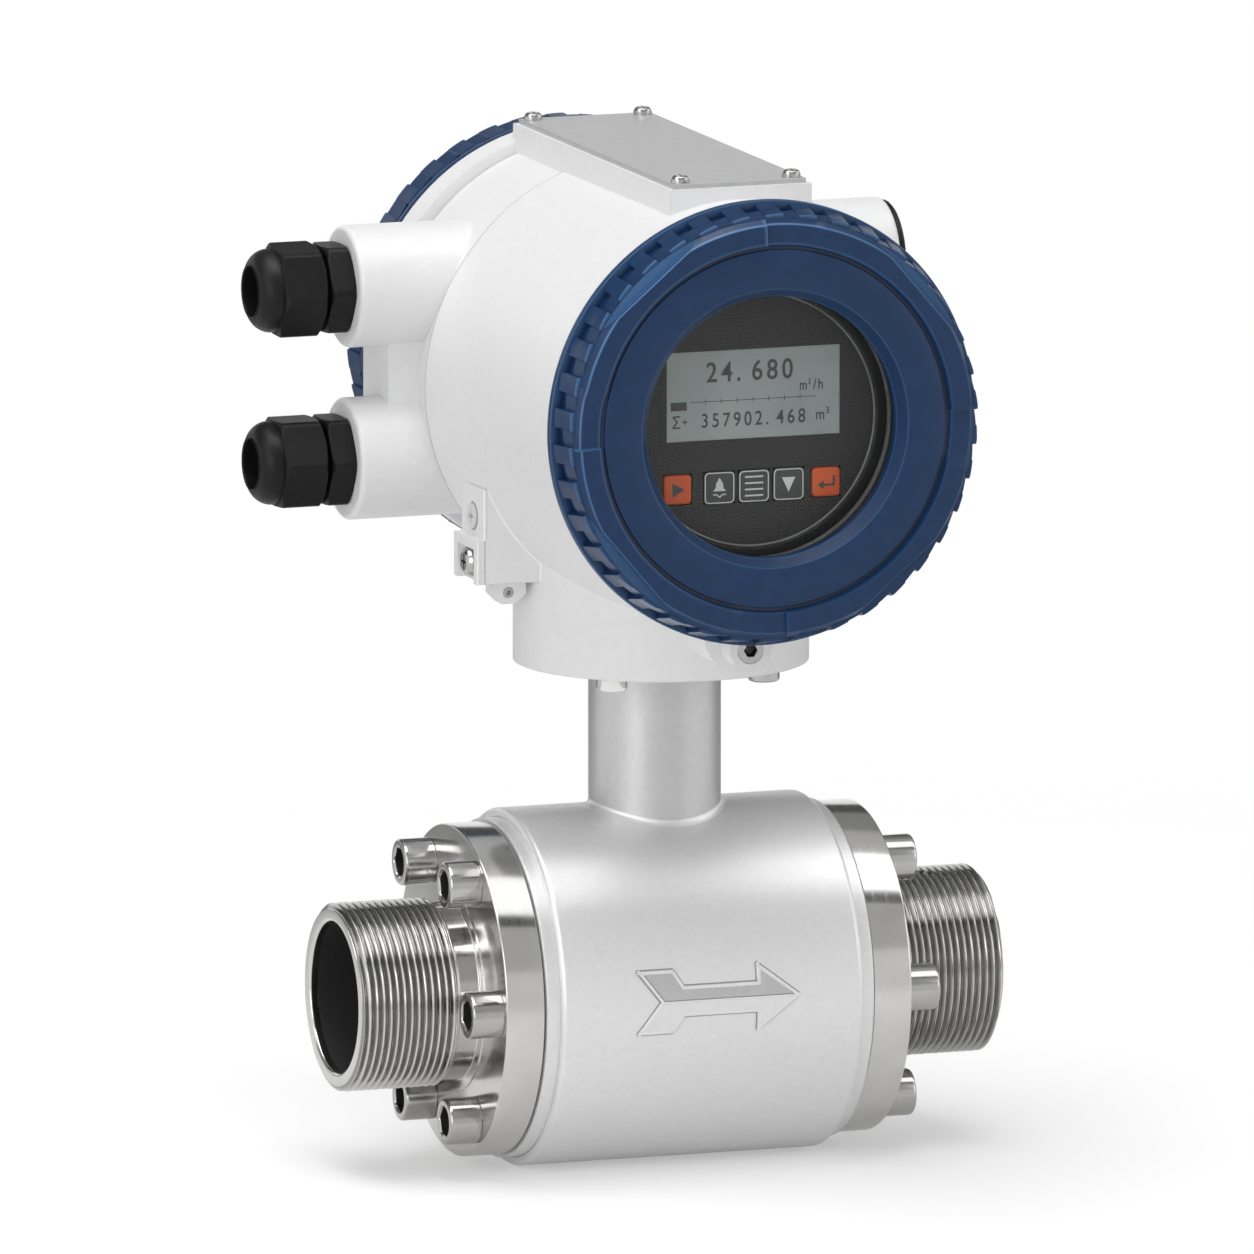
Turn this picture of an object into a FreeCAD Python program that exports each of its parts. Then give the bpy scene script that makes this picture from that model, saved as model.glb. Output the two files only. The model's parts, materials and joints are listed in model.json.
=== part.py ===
import FreeCAD, Part
import math
import os
import re

import Sketcher
from FreeCAD import Placement, Rotation, Vector

# Driving sizes in millimetres and degrees: name, value, what it measures
SIZES = [
    # Fits
    ("fit_gap", 0.1, "gap of a seated fit"),
    ("run_gap", 0.3, "gap between pieces that move on each other"),
    ("cut_past", 1.0, "how far a cutter reaches past the face it enters"),
    # Flow path
    ("bore_radius", 23.9, "clear bore"),
    ("liner_wall", 2.4, "liner wall"),
    ("tube_wall", 3.0, "measuring tube wall"),
    ("pipe_half", 107.0, "pipe end from the middle"),
    ("lip_length", 3.0, "steel lip that traps the liner at each pipe end"),
    ("thread_radius", 29.8, "crest of the pipe thread"),
    ("thread_length", 31.0, "threaded length"),
    ("thread_chamfer", 1.5, "chamfer at both ends of the thread"),
    ("relief_radius", 28.2, "plain relief behind the thread"),
    ("flange_radius", 52.5, "connector flange"),
    ("flange_thick", 12.5, "connector flange thickness"),
    ("flange_face", 54.9, "inner face of the connector flange from the middle"),
    ("flange_chamfer", 0.7, "edge break of the flange"),
    ("gasket_thick", 0.6, "flange gasket thickness"),
    ("gasket_inset", 1.2, "flange gasket edge inside the flange edge"),
    # Drum
    ("drum_radius", 56.45, "drum shell outside"),
    ("drum_half", 50.0, "drum shell end from the middle"),
    ("drum_wall", 2.75, "drum shell wall"),
    ("drum_edge", 1.6, "rounding of the drum shell's outer edges"),
    ("ring_thick", 10.3, "end ring thickness"),
    # Flow arrow on the drum
    ("arrow_rise", 0.9, "arrow above the drum"),
    ("arrow_sink", 0.6, "depth of the arrow's open upper half"),
    ("arrow_border", 1.2, "raised border of the arrow"),
    ("tail_borders", 1.8, "borders across the slanted end of the tail"),
    ("slant_borders", 0.5, "borders along the tail's slanted shoulder"),
    ("barb_borders", 2.4, "borders down the point of the barb"),
    ("tip_borders", 1.4, "borders along the tip"),
    ("arrow_level", 2.8, "arrow centre line above the pipe axis"),
    ("arrow_tail", 25.5, "tail end"),
    ("arrow_notch", 17.7, "bottom of the tail notch"),
    ("arrow_fletch", 13.4, "end of the tail's straight edge"),
    ("arrow_waist", 10.1, "start of the shaft"),
    ("arrow_barb", 14.3, "back of the arrow head"),
    ("arrow_tip", 28.5, "tip"),
    ("arrow_wing", 10.0, "half height of the tail"),
    ("arrow_shaft", 4.75, "half height of the shaft"),
    ("arrow_head", 10.8, "half height of the head"),
    # Flange screws
    ("screw_circle", 43.5, "radius of the flange screw circle"),
    ("screw_radius", 5.0, "flange screw shank"),
    ("screw_head_radius", 7.4, "flange screw head"),
    ("screw_head_tall", 10.4, "flange screw head height"),
    ("head_break", 0.1, "edge break of a socket head, as a share of its size"),
    ("screw_socket", 8.0, "flange screw socket across flats"),
    ("screw_socket_deep", 5.0, "flange screw socket depth"),
    ("screw_reach", 8.0, "flange screw depth in the end ring"),
    ("screw_slack", 0.5, "flange hole beyond the screw"),
    # Magnet system
    ("yoke_wall", 2.0, "magnet yoke wall"),
    ("yoke_half", 24.0, "magnet yoke end from the middle"),
    ("coil_foot", 33.0, "coil foot from the pipe axis"),
    ("coil_gap", 2.8, "coil below the yoke, at the coil's outer edge"),
    ("coil_inner", 10.0, "coil hole"),
    ("coil_outer", 19.0, "coil outside"),
    ("electrode_radius", 3.0, "electrode"),
    ("electrode_length", 14.0, "electrode length"),
    ("bush_radius", 7.0, "electrode bush collar"),
    ("bush_stub", 4.6, "electrode bush stub in the tube wall"),
    ("bush_tall", 6.0, "electrode bush collar height"),
    # Neck and turret
    ("neck_radius", 20.9, "neck tube outside"),
    ("neck_wall", 2.5, "neck tube wall"),
    ("turret_bottom", 103.3, "turret rim above the pipe axis"),
    ("turret_radius", 46.6, "turret outside"),
    ("turret_ahead", 6.0, "turret axis ahead of the neck axis"),
    ("turret_wall", 6.6, "turret wall above its floor"),
    ("skirt_wall", 2.0, "turret skirt round the neck flange"),
    ("skirt_deep", 1.2, "neck flange face above the turret rim"),
    ("neck_flange_thick", 6.0, "neck flange thickness"),
    ("neck_gasket_thick", 1.0, "neck gasket thickness"),
    ("floor_thick", 11.0, "turret floor thickness"),
    ("neck_screw_circle", 35.8, "radius of the neck screw circle"),
    ("neck_screw_tilt", 45.0, "angle of the first neck screw"),
    ("neck_screw_radius", 3.0, "neck screw shank"),
    ("neck_screw_head", 5.0, "neck screw head"),
    ("neck_screw_tall", 6.0, "neck screw head height"),
    ("neck_screw_socket", 5.0, "neck screw socket across flats"),
    ("neck_screw_reach", 8.0, "neck screw depth in the turret floor"),
    ("cable_radius", 3.5, "sensor cable"),
    ("cable_ahead", 9.0, "sensor cable ahead of the neck axis"),
    # Head casting
    ("head_rise", 89.1, "head axis above the turret rim"),
    ("head_front", 97.6, "front face of the casting ahead of the pipe axis"),
    ("head_rear", 78.0, "rear face of the casting behind the pipe axis"),
    ("front_radius", 67.6, "barrel at its front face"),
    ("seam_radius", 67.0, "front barrel where it meets the rear barrel"),
    ("seam_place", 19.5, "end of the front barrel behind the pipe axis"),
    ("belly_radius", 69.5, "belly under the barrels, at the seam"),
    ("belly_drop", 4.0, "belly axis below the head axis"),
    ("belly_nose", 63.5, "belly at the front face of the casting"),
    ("belly_end", 62.0, "belly at the groove ahead of the rear rim"),
    ("rear_radius", 66.5, "rear barrel"),
    ("rim_radius", 69.8, "rear rim"),
    ("rim_wide", 12.5, "rear rim width"),
    ("groove_wide", 1.6, "groove ahead of the rear rim"),
    ("groove_deep", 1.4, "groove depth"),
    ("cavity_radius", 61.0, "inside of both chambers"),
    ("partition_front", 4.0, "front face of the partition behind the pipe axis"),
    ("partition_thick", 8.0, "partition between the chambers"),
    # Cable bosses
    ("boss_radius", 19.3, "cable boss"),
    ("boss_round", 1.6, "rounding of the cable boss edge"),
    ("boss_reach", 90.1, "cable boss face from the middle"),
    ("boss_behind", 39.5, "cable boss axis behind the pipe axis"),
    ("upper_rise", 26.8, "upper cable boss axis above the head axis"),
    ("lower_drop", 28.0, "lower cable boss axis below the head axis"),
    ("entry_start", 42.7, "inner end of the cable way from the middle, inside the rear chamber"),
    ("web_reach", 77.6, "web between the bosses, face from the middle"),
    ("web_ahead", 8.0, "web front face ahead of the boss axis"),
    ("web_wide", 24.5, "web width"),
    # Nameplate pad
    ("pad_half", 23.3, "half width of the pad"),
    ("pad_front", 80.7, "pad front ahead of the pipe axis"),
    ("pad_rear", 68.4, "pad rear behind the pipe axis"),
    ("pad_rise", 71.3, "pad face above the head axis"),
    ("plate_inset", 1.4, "plate edge inside the pad edge"),
    ("plate_thick", 1.5, "top plate thickness"),
    ("plate_screw_inset", 5.0, "plate screw from the pad's edges"),
    ("plate_screw_radius", 1.5, "plate screw shank"),
    ("plate_screw_head", 2.9, "plate screw head"),
    ("plate_screw_tall", 2.4, "plate screw head height"),
    ("plate_screw_reach", 8.0, "plate screw depth in the pad"),
    # Ground block, lug and cover lock
    ("gusset_reach", 63.2, "gusset face from the middle"),
    ("gusset_front", 19.5, "gusset front ahead of the pipe axis"),
    ("gusset_wide", 22.0, "gusset width"),
    ("gusset_drop", 60.4, "gusset bottom below the head axis"),
    ("gusset_tall", 30.0, "gusset height, its top lies inside the barrel"),
    ("block_rise", 2.6, "ground block above the gusset face"),
    ("block_tall", 14.0, "ground block height"),
    ("block_frame", 3.2, "frame round the ground recess"),
    ("pan_crown", 0.62, "flat top of a pan head, as a share of its radius"),
    ("pan_shoulder", 0.86, "shoulder of a pan head, as a share of its radius"),
    ("pan_shoulder_up", 0.82, "height of that shoulder, as a share of the head"),
    ("pan_side", 0.5, "straight side of a pan head, as a share of the head"),
    ("cross_wide", 0.24, "cross recess width, as a share of the head radius"),
    ("cross_long", 1.05, "cross recess length, as a share of the head radius"),
    ("cross_deep", 0.55, "cross recess depth, as a share of the head height"),
    ("ground_rise", 5.9, "ground screw above the gusset bottom"),
    ("ground_radius", 2.5, "ground screw shank"),
    ("ground_head", 4.75, "ground screw head"),
    ("ground_tall", 3.4, "ground screw head height"),
    ("ground_reach", 9.0, "ground screw depth"),
    ("seal_rise", 20.3, "seal plug above the gusset bottom"),
    ("seal_radius", 4.0, "seal plug"),
    ("seal_reach", 5.0, "seal plug length in the gusset"),
    ("seal_proud", 0.8, "seal plug beyond the gusset face"),
    ("lug_reach", 59.0, "lug end from the middle"),
    ("lug_front", 15.0, "lug front ahead of the pipe axis"),
    ("lug_wide", 7.0, "lug width"),
    ("lug_tall", 7.2, "lug below the gusset"),
    ("lug_inner", 48.0, "lug inner end from the middle"),
    ("lug_round", 3.0, "rounding of the lug's lower corners"),
    ("lug_screw_in", 5.2, "lug set screw from the lug end"),
    ("lug_screw_radius", 1.6, "lug set screw"),
    ("lug_screw_length", 5.0, "lug set screw length"),
    ("lock_reach", 90.0, "cover lock boss face ahead of the pipe axis"),
    ("lock_drop", 11.2, "cover lock boss axis below the covers' spigots"),
    ("lock_radius", 6.7, "cover lock boss"),
    ("lock_screw_radius", 4.1, "cover lock screw"),
    ("lock_screw_length", 14.0, "cover lock screw length"),
    ("lock_socket", 4.0, "cover lock screw socket across flats"),
    ("lock_rib_radius", 12.0, "rib behind the cover lock boss"),
    ("lock_rib_reach", 80.0, "rib face ahead of the pipe axis"),
    ("lock_rib_lift", 4.0, "rib axis above the boss axis"),
    # Screw covers
    ("cover_gap", 0.4, "cover to casting"),
    ("cover_deep", 16.4, "front cover outside, front to back"),
    ("rear_deep", 20.0, "rear cover outside, front to back"),
    ("cover_lip", 70.0, "cover at its back lip"),
    ("lip_wide", 3.0, "cover back lip width"),
    ("band_radius", 69.2, "cover side beside the lip"),
    ("rim_outer", 65.3, "face rim of the front cover, outside"),
    ("rear_rim_outer", 68.3, "face rim of the rear cover, outside"),
    ("rim_inner", 58.0, "face rim inside"),
    ("rim_break", 1.0, "edge break of the face rim"),
    ("face_sink", 1.4, "ring face below the rim"),
    ("bevel_radius", 43.9, "outer edge of the window bevel"),
    ("window_radius", 41.0, "window opening"),
    ("window_sink", 5.4, "window opening edge below the rim"),
    ("seat_sink", 7.9, "glass seat below the rim"),
    ("glass_radius", 48.0, "window glass"),
    ("glass_thick", 8.0, "window glass thickness"),
    ("keeper_thick", 3.0, "glass retaining ring thickness"),
    ("keeper_inner", 42.5, "glass retaining ring inside"),
    ("spigot_radius", 62.2, "threaded spigot of both covers"),
    ("spigot_wall", 5.2, "spigot wall"),
    ("spigot_length", 14.0, "spigot length"),
    ("seal_section", 1.3, "cover seal section radius"),
    ("seal_groove", 2.6, "seal groove depth in the spigot"),
    ("rear_plate", 6.0, "rear cover plate thickness"),
    ("tooth_floor", 67.4, "floor between the grip teeth"),
    ("tooth_gap", 5.0, "gap between the grip teeth"),
    # Display
    ("panel_front", 91.0, "display panel face ahead of the pipe axis"),
    ("panel_thick", 2.0, "display panel thickness"),
    ("panel_radius", 52.0, "display panel"),
    ("sleeve_inner", 43.5, "sleeve on the panel, inside"),
    ("sleeve_wall", 2.0, "sleeve wall"),
    ("sleeve_tall", 3.8, "sleeve height"),
    ("lcd_wide", 57.0, "display glass width"),
    ("lcd_tall", 28.0, "display glass height"),
    ("lcd_rise", 8.0, "display centre above the head axis"),
    ("lcd_rim", 2.5, "display module beyond its glass"),
    ("lcd_sink", 0.4, "display glass below the panel face"),
    ("lcd_deep", 4.0, "display module behind the panel"),
    ("key_drop", 21.0, "key row below the head axis"),
    ("end_key", 9.2, "end key width"),
    ("mid_key", 10.0, "middle key width"),
    ("mid_key_step", 11.4, "middle key spacing"),
    ("left_key_step", 25.2, "left end key from the middle key"),
    ("right_key_step", 23.9, "right end key from the middle key"),
    ("key_rise", 0.5, "key above the panel"),
    ("key_wing", 1.4, "key flange above and below the cap"),
    ("key_flange", 1.0, "key flange thickness"),
    ("key_travel", 0.5, "key travel"),
    ("switch_wide", 6.0, "key switch"),
    ("board_thick", 1.6, "circuit board thickness"),
    ("board_radius", 54.0, "circuit board"),
    ("main_board_ahead", 60.0, "main board ahead of the pipe axis"),
    ("pillar_spot", 34.0, "board pillar from the head axis, both ways"),
    ("pillar_radius", 2.5, "board pillar"),
    # Rear chamber
    ("feed_radius", 8.0, "feed-through"),
    ("feed_drop", 15.0, "feed-through below the head axis"),
    ("feed_ahead", 6.0, "feed-through into the front chamber"),
    ("terminal_half", 35.0, "half length of the terminal block"),
    ("terminal_tall", 22.0, "terminal block height"),
    ("terminal_deep", 18.0, "terminal block depth"),
    ("terminal_drop", 15.0, "terminal block centre below the head axis"),
    ("terminal_screw", 2.4, "terminal screw"),
    ("terminal_screw_deep", 9.0, "terminal screw length"),
    ("terminal_sink", 1.0, "terminal screw below the block's face"),
    ("terminal_slot", 0.8, "terminal screw slot"),
    # Cable glands and plug
    ("gland_thread", 10.0, "gland thread in the boss"),
    ("gland_reach", 14.0, "gland thread length in the boss"),
    ("gland_flats", 27.0, "gland hexagon across flats"),
    ("gland_hex", 8.0, "gland body hexagon length"),
    ("gland_stem", 10.9, "gland stem under the nut"),
    ("gland_stem_length", 10.0, "gland stem length"),
    ("gland_bore", 7.6, "gland body bore"),
    ("nut_length", 21.5, "dome nut length"),
    ("nut_gap", 1.3, "gap between the gland body's hexagon and the nut"),
    ("nut_hex", 14.0, "dome nut hexagon length"),
    ("nut_radius", 13.2, "dome nut's round end"),
    ("nut_dome", 6.4, "dome nut end rounding"),
    ("nut_hole", 8.0, "dome nut cable hole"),
    ("nut_end", 5.0, "dome nut end wall"),
    ("insert_bore", 7.0, "rubber insert bore"),
    ("plug_radius", 18.3, "blanking plug head"),
    ("plug_thick", 2.0, "blanking plug head thickness"),
    ("plug_flats", 12.0, "blanking plug socket across flats"),
    ("plug_socket", 8.0, "blanking plug socket depth"),
]

FLANGE_SCREWS = 6
NECK_SCREWS = 4
TEETH = 38
TERMINALS = 8
# How far the gland bodies and each dome nut were turned when they were tightened, in degrees
BODY_SPIN = 30
UPPER_NUT_SPIN = 22
LOWER_NUT_SPIN = 30
# Length below which two places count as the same
TOUCH = 0.01

DOC = FreeCAD.newDocument("flow_meter")
SHEET = DOC.addObject("Spreadsheet::Sheet", "Sizes")
for row, (alias, value, words) in enumerate(SIZES, 1):
    SHEET.set("A%d" % row, words)
    SHEET.set("B%d" % row, str(value))
    SHEET.setAlias("B%d" % row, alias)
DOC.recompute()

ALIASES = {alias for alias, value, words in SIZES}
# Heights above the pipe axis that follow from the sizes
HEIGHTS = {
    "head_height": "(turret_bottom + head_rise)",
    "upper_boss": "(turret_bottom + head_rise + upper_rise)",
    "lower_boss": "(turret_bottom + head_rise - lower_drop)",
    "pad_top": "(turret_bottom + head_rise + pad_rise)",
    "gusset_bottom": "(turret_bottom + head_rise - gusset_drop)",
    "lock_height": "(turret_bottom + head_rise - spigot_radius - lock_drop)",
}
WORD = re.compile(r"[a-z_]+")
TURNS = {
    "+X": Rotation(Vector(0, 1, 0), 90),
    "-X": Rotation(Vector(0, 1, 0), -90),
    "+Y": Rotation(Vector(1, 0, 0), -90),
    "-Y": Rotation(Vector(1, 0, 0), 90),
    "+Z": Rotation(),
    "-Z": Rotation(Vector(1, 0, 0), 180),
}
MIDDLE = ("0", "0", "0")
HEAD_AXIS = ("0", "0", "head_height")
PIECES = []


# Binding sizes and places to the sheet


def tied(rule):
    """The rule with every height written out and every size name pointed at its cell of the sheet."""
    def pointed(found):
        word = found.group()
        if word in HEIGHTS:
            return tied(HEIGHTS[word])
        return "Sizes." + word if word in ALIASES else word

    return WORD.sub(pointed, rule)


def bind(thing, prop, rule):
    thing.setExpression(prop, tied(rule))


def place(thing, at, turn=None):
    thing.Placement = Placement(Vector(), turn or Rotation())
    for letter, rule in zip("xyz", at):
        bind(thing, "Placement.Base." + letter, rule)


def piece(label, thing):
    """Names a finished sub-part."""
    thing.Label = label
    PIECES.append(thing)
    return thing


# Building blocks


def origin_part(body, role):
    return [feature for feature in body.Origin.OriginFeatures if feature.Role == role][0]


def outline(body, plane, corners):
    """A closed sketch of straight runs in one of the body's planes, with both places of each corner tied."""
    sketch = body.newObject("Sketcher::SketchObject", body.Name + "_outline")
    sketch.AttachmentSupport = [(origin_part(body, plane), "")]
    sketch.MapMode = "FlatFace"
    count = len(corners)
    steps = [math.tau * i / count for i in range(count)]
    spots = [Vector(math.cos(step), math.sin(step), 0) for step in steps]
    for i in range(count):
        sketch.addGeometry(Part.LineSegment(spots[i], spots[(i + 1) % count]), False)
    for i in range(count):
        sketch.addConstraint(Sketcher.Constraint("Coincident", i, 2, (i + 1) % count, 1))
    for i, (across, along) in enumerate(corners):
        across_index = sketch.addConstraint(Sketcher.Constraint("DistanceX", -1, 1, i, 1, spots[i].x))
        bind(sketch, "Constraints[%d]" % across_index, across)
        along_index = sketch.addConstraint(Sketcher.Constraint("DistanceY", -1, 1, i, 1, spots[i].y))
        bind(sketch, "Constraints[%d]" % along_index, along)
    return sketch


def turned(name, axis, corners, at=MIDDLE):
    """A body turned about X, Y or Z through a place. A corner is its place along the axis and its radius."""
    body = DOC.addObject("PartDesign::Body", name)
    upright = axis != "X"
    rules = [(radius, along) if upright else (along, radius) for along, radius in corners]
    sketch = outline(body, "XZ_Plane" if axis == "Z" else "XY_Plane", rules)
    spin = body.newObject("PartDesign::Revolution", name + "_turned")
    spin.Profile = sketch
    spin.ReferenceAxis = (sketch, ["V_Axis" if upright else "H_Axis"])
    spin.Angle = 360
    place(body, at)
    return body


def ring(name, axis, low, high, inner, outer, at=MIDDLE):
    return turned(name, axis, [(low, inner), (low, outer), (high, outer), (high, inner)], at)


def padded(name, corners, length, at=MIDDLE):
    """A body padded forwards, along -Y, from an outline in its XZ plane."""
    body = DOC.addObject("PartDesign::Body", name)
    pad = body.newObject("PartDesign::Pad", name + "_pad")
    pad.Profile = outline(body, "XZ_Plane", corners)
    bind(pad, "Length", length)
    place(body, at)
    return body


def is_circle(edge):
    return edge.Curve.TypeId == "Part::GeomCircle"


def rounded(body, radius, wanted):
    """Rounds the edges of a body that the test picks."""
    DOC.recompute()
    last = body.Tip
    names = ["Edge%d" % (i + 1) for i, edge in enumerate(last.Shape.Edges) if wanted(edge)]
    rounding = body.newObject("PartDesign::Fillet", body.Name + "_rounding")
    rounding.Base = (last, names)
    bind(rounding, "Radius", radius)
    return body


def toothed(body, low, length):
    """Cuts one gap of the grip into a cover's side and repeats it round the cover."""
    half = "tooth_gap / 2"
    outer = "cover_lip + lip_wide"
    gap = outline(body, "XZ_Plane", [
        ("tooth_floor", "-" + half),
        (outer, "-" + half),
        (outer, half),
        ("tooth_floor", half),
    ])
    bind(gap, "AttachmentOffset.Base.z", "-(%s)" % low)
    DOC.recompute()
    cut_one = body.newObject("PartDesign::Pocket", body.Name + "_gap")
    cut_one.Profile = gap
    bind(cut_one, "Length", length)
    DOC.recompute()
    gaps = body.newObject("PartDesign::PolarPattern", body.Name + "_gaps")
    gaps.Originals = [cut_one]
    gaps.Axis = (origin_part(body, "Y_Axis"), [""])
    gaps.Angle = 360
    gaps.Occurrences = TEETH
    body.Tip = gaps
    return body


def cylinder(name, way, radius, length, at):
    solid = DOC.addObject("Part::Cylinder", name)
    bind(solid, "Radius", radius)
    bind(solid, "Height", length)
    place(solid, at, TURNS[way])
    return solid


def hexagon(name, way, flats, length, at, spin=0):
    """A hexagonal bar, turned by a spin about its own axis."""
    solid = DOC.addObject("Part::Prism", name)
    solid.Polygon = 6
    bind(solid, "Circumradius", "(%s) / sqrt(3)" % flats)
    bind(solid, "Height", length)
    place(solid, at, TURNS[way].multiply(Rotation(Vector(0, 0, 1), spin)))
    return solid


def block(name, low, size):
    solid = DOC.addObject("Part::Box", name)
    for prop, rule in zip(("Length", "Width", "Height"), size):
        bind(solid, prop, rule)
    place(solid, low)
    return solid


def fuse(name, things):
    solid = DOC.addObject("Part::MultiFuse", name)
    solid.Shapes = things
    solid.Refine = True
    return solid


def cut(name, base, tools):
    solid = DOC.addObject("Part::Cut", name)
    solid.Base = base
    solid.Tool = tools[0] if len(tools) == 1 else fuse(name + "_tools", tools)
    return solid


def common(name, base, tool):
    solid = DOC.addObject("Part::Common", name)
    solid.Base = base
    solid.Tool = tool
    return solid


def group(label, things):
    """Like pieces kept together as separate solids."""
    together = DOC.addObject("Part::Compound", label + "_group")
    together.Links = things
    return piece(label, together)


def copies(label, master, spots):
    """Copies of one piece, each turned and placed."""
    links = []
    for way, at in spots:
        link = DOC.addObject("App::Link", label + "_copy")
        link.LinkedObject = master
        place(link, at, TURNS[way])
        links.append(link)
    return group(label, links)


def circle_spot(radius, angle):
    """Place on a circle: across and up, the angle counted from the front towards the top."""
    return "-%s * cos(%s)" % (radius, angle), "%s * sin(%s)" % (radius, angle)


# Screws: seat at the origin, shank along +Z, head below


def socket_screw(name, shank, length, head, tall, socket, deep):
    bar = turned(name + "_bar", "Z", [
        ("-(%s)" % tall, "0"),
        ("-(%s)" % tall, "%s * (1 - head_break)" % head),
        ("-(%s) * (1 - head_break)" % tall, head),
        ("0", head),
        ("0", shank),
        (length, shank),
        (length, "0"),
    ])
    recess = hexagon(name + "_socket", "+Z", socket, deep, ("0", "0", "-(%s)" % tall))
    return cut(name, bar, [recess])


def cross_screw(name, shank, length, head, tall):
    """Pan-head screw: a low domed head with a cross recess."""
    bar = turned(name + "_bar", "Z", [
        ("-(%s)" % tall, "0"),
        ("-(%s)" % tall, "%s * pan_crown" % head),
        ("-(%s) * pan_shoulder_up" % tall, "%s * pan_shoulder" % head),
        ("-(%s) * pan_side" % tall, head),
        ("0", head),
        ("0", shank),
        (length, shank),
        (length, "0"),
    ])
    wide = "%s * cross_wide" % head
    long = "%s * cross_long" % head
    deep = "(%s) * cross_deep" % tall
    low = "-(%s) - fit_gap" % tall
    first = block(name + "_slot", ("-%s / 2" % long, "-%s / 2" % wide, low), (long, wide, deep))
    second = block(name + "_cross", ("-%s / 2" % wide, "-%s / 2" % long, low), (wide, long, deep))
    return cut(name, bar, [first, second])


# Shared rules
LINER_OUTER = "bore_radius + liner_wall"
TUBE_INNER = "bore_radius + liner_wall + fit_gap"
TUBE_OUTER = "bore_radius + liner_wall + fit_gap + tube_wall"
DRUM_INNER = "drum_radius - drum_wall"
YOKE_OUTER = "drum_radius - drum_wall - run_gap"
COIL_TOP = "sqrt((%s - yoke_wall)^2 - coil_outer^2) - coil_gap" % YOKE_OUTER
DRUM_FRONT = ("0", "-drum_radius", "0")
RING_FACE = "flange_face - gasket_thick"
NECK_SEAT = "turret_bottom + skirt_deep"
NECK_TOP = "turret_bottom + skirt_deep + neck_flange_thick"
FLOOR_BOTTOM = "turret_bottom + skirt_deep + neck_flange_thick + neck_gasket_thick"
FLOOR_TOP = FLOOR_BOTTOM + " + floor_thick"
COVER_BACK = "head_front + cover_gap"
COVER_FACE = "head_front + cover_gap + cover_deep"
REAR_BACK = "head_rear + cover_gap"
REAR_FACE = "head_rear + cover_gap + rear_deep"
GROOVE_FLOOR = "spigot_radius - seal_groove"
GROOVE_WIDE = "(seal_section * 2 + run_gap * 2)"
SEAL_MAJOR = "spigot_radius - seal_groove + run_gap + seal_section"
PANEL_BACK = "panel_front - panel_thick"
BOARD_FRONT = "panel_front - panel_thick - fit_gap - lcd_deep"
PARTITION_REAR = "partition_front + partition_thick"
KEY_ROW = "head_height - key_drop"
LCD_LEVEL = "head_height + lcd_rise"
GUSSET_MIDDLE = "gusset_wide / 2 - gusset_front"
GROUND_SPOT = ("-gusset_reach", GUSSET_MIDDLE, "gusset_bottom + ground_rise")
SEAL_SPOT = ("-gusset_reach", GUSSET_MIDDLE, "gusset_bottom + seal_rise")
LUG_SPOT = ("-lug_reach + lug_screw_in", "-lug_front", "gusset_bottom - lug_tall / 2")
LOCK_SPOT = ("0", "-lock_reach", "lock_height")
SPIGOT_INNER = "spigot_radius - spigot_wall - seal_groove"


def sided(rule, side):
    return rule if side > 0 else "-(%s)" % rule


# Flow tube and drum


def flange_holes(name, radius, low, length):
    """Six cutters along X on the flange screw circle, past both faces of what they drill."""
    holes = []
    for i in range(FLANGE_SCREWS):
        across, up = circle_spot("screw_circle", str(360 // FLANGE_SCREWS * i))
        spot = (low + " - cut_past", across, up)
        holes.append(cylinder(name + "_hole", "+X", radius, length + " + cut_past * 2", spot))
    return holes


def connector(label, side):
    """Turned end piece: flange, relief, pipe-thread barrel and the lip that traps the liner."""
    outer_face = "flange_face + flange_thick"
    thread_start = "pipe_half - thread_length"
    lip_start = "pipe_half - lip_length"
    corners = [
        ("flange_face", TUBE_INNER),
        ("flange_face", "flange_radius - flange_chamfer"),
        ("flange_face + flange_chamfer", "flange_radius"),
        (outer_face + " - flange_chamfer", "flange_radius"),
        (outer_face, "flange_radius - flange_chamfer"),
        (outer_face, "relief_radius"),
        (thread_start, "relief_radius"),
        (thread_start + " + thread_chamfer", "thread_radius"),
        ("pipe_half - thread_chamfer", "thread_radius"),
        ("pipe_half", "thread_radius - thread_chamfer"),
        ("pipe_half", "bore_radius + flange_chamfer"),
        ("pipe_half - flange_chamfer", "bore_radius"),
        (lip_start, "bore_radius"),
        (lip_start, TUBE_INNER),
    ]
    blank = turned(label + "_blank", "X", [(sided(along, side), radius) for along, radius in corners])
    low = "flange_face" if side > 0 else "-flange_face - flange_thick"
    holes = flange_holes(label, "screw_radius + screw_slack", low, "flange_thick")
    return piece(label, cut(label + "_drilled", blank, holes))


def flange_gasket(label, side):
    low = "flange_face - gasket_thick" if side > 0 else "-flange_face"
    high = "flange_face" if side > 0 else "gasket_thick - flange_face"
    blank = ring(label + "_blank", "X", low, high, TUBE_OUTER, "flange_radius - gasket_inset")
    holes = flange_holes(label, "screw_radius + screw_slack", low, "gasket_thick")
    return piece(label, cut(label + "_punched", blank, holes))


def end_ring(label, side):
    face = RING_FACE
    low = face + " - ring_thick" if side > 0 else "-(%s)" % face
    high = face if side > 0 else "ring_thick - (%s)" % face
    blank = ring(label + "_blank", "X", low, high, TUBE_OUTER + " + fit_gap", DRUM_INNER + " - fit_gap")
    holes = flange_holes(label, "screw_radius + fit_gap", low, "ring_thick")
    return piece(label, cut(label + "_drilled", blank, holes))


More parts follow.
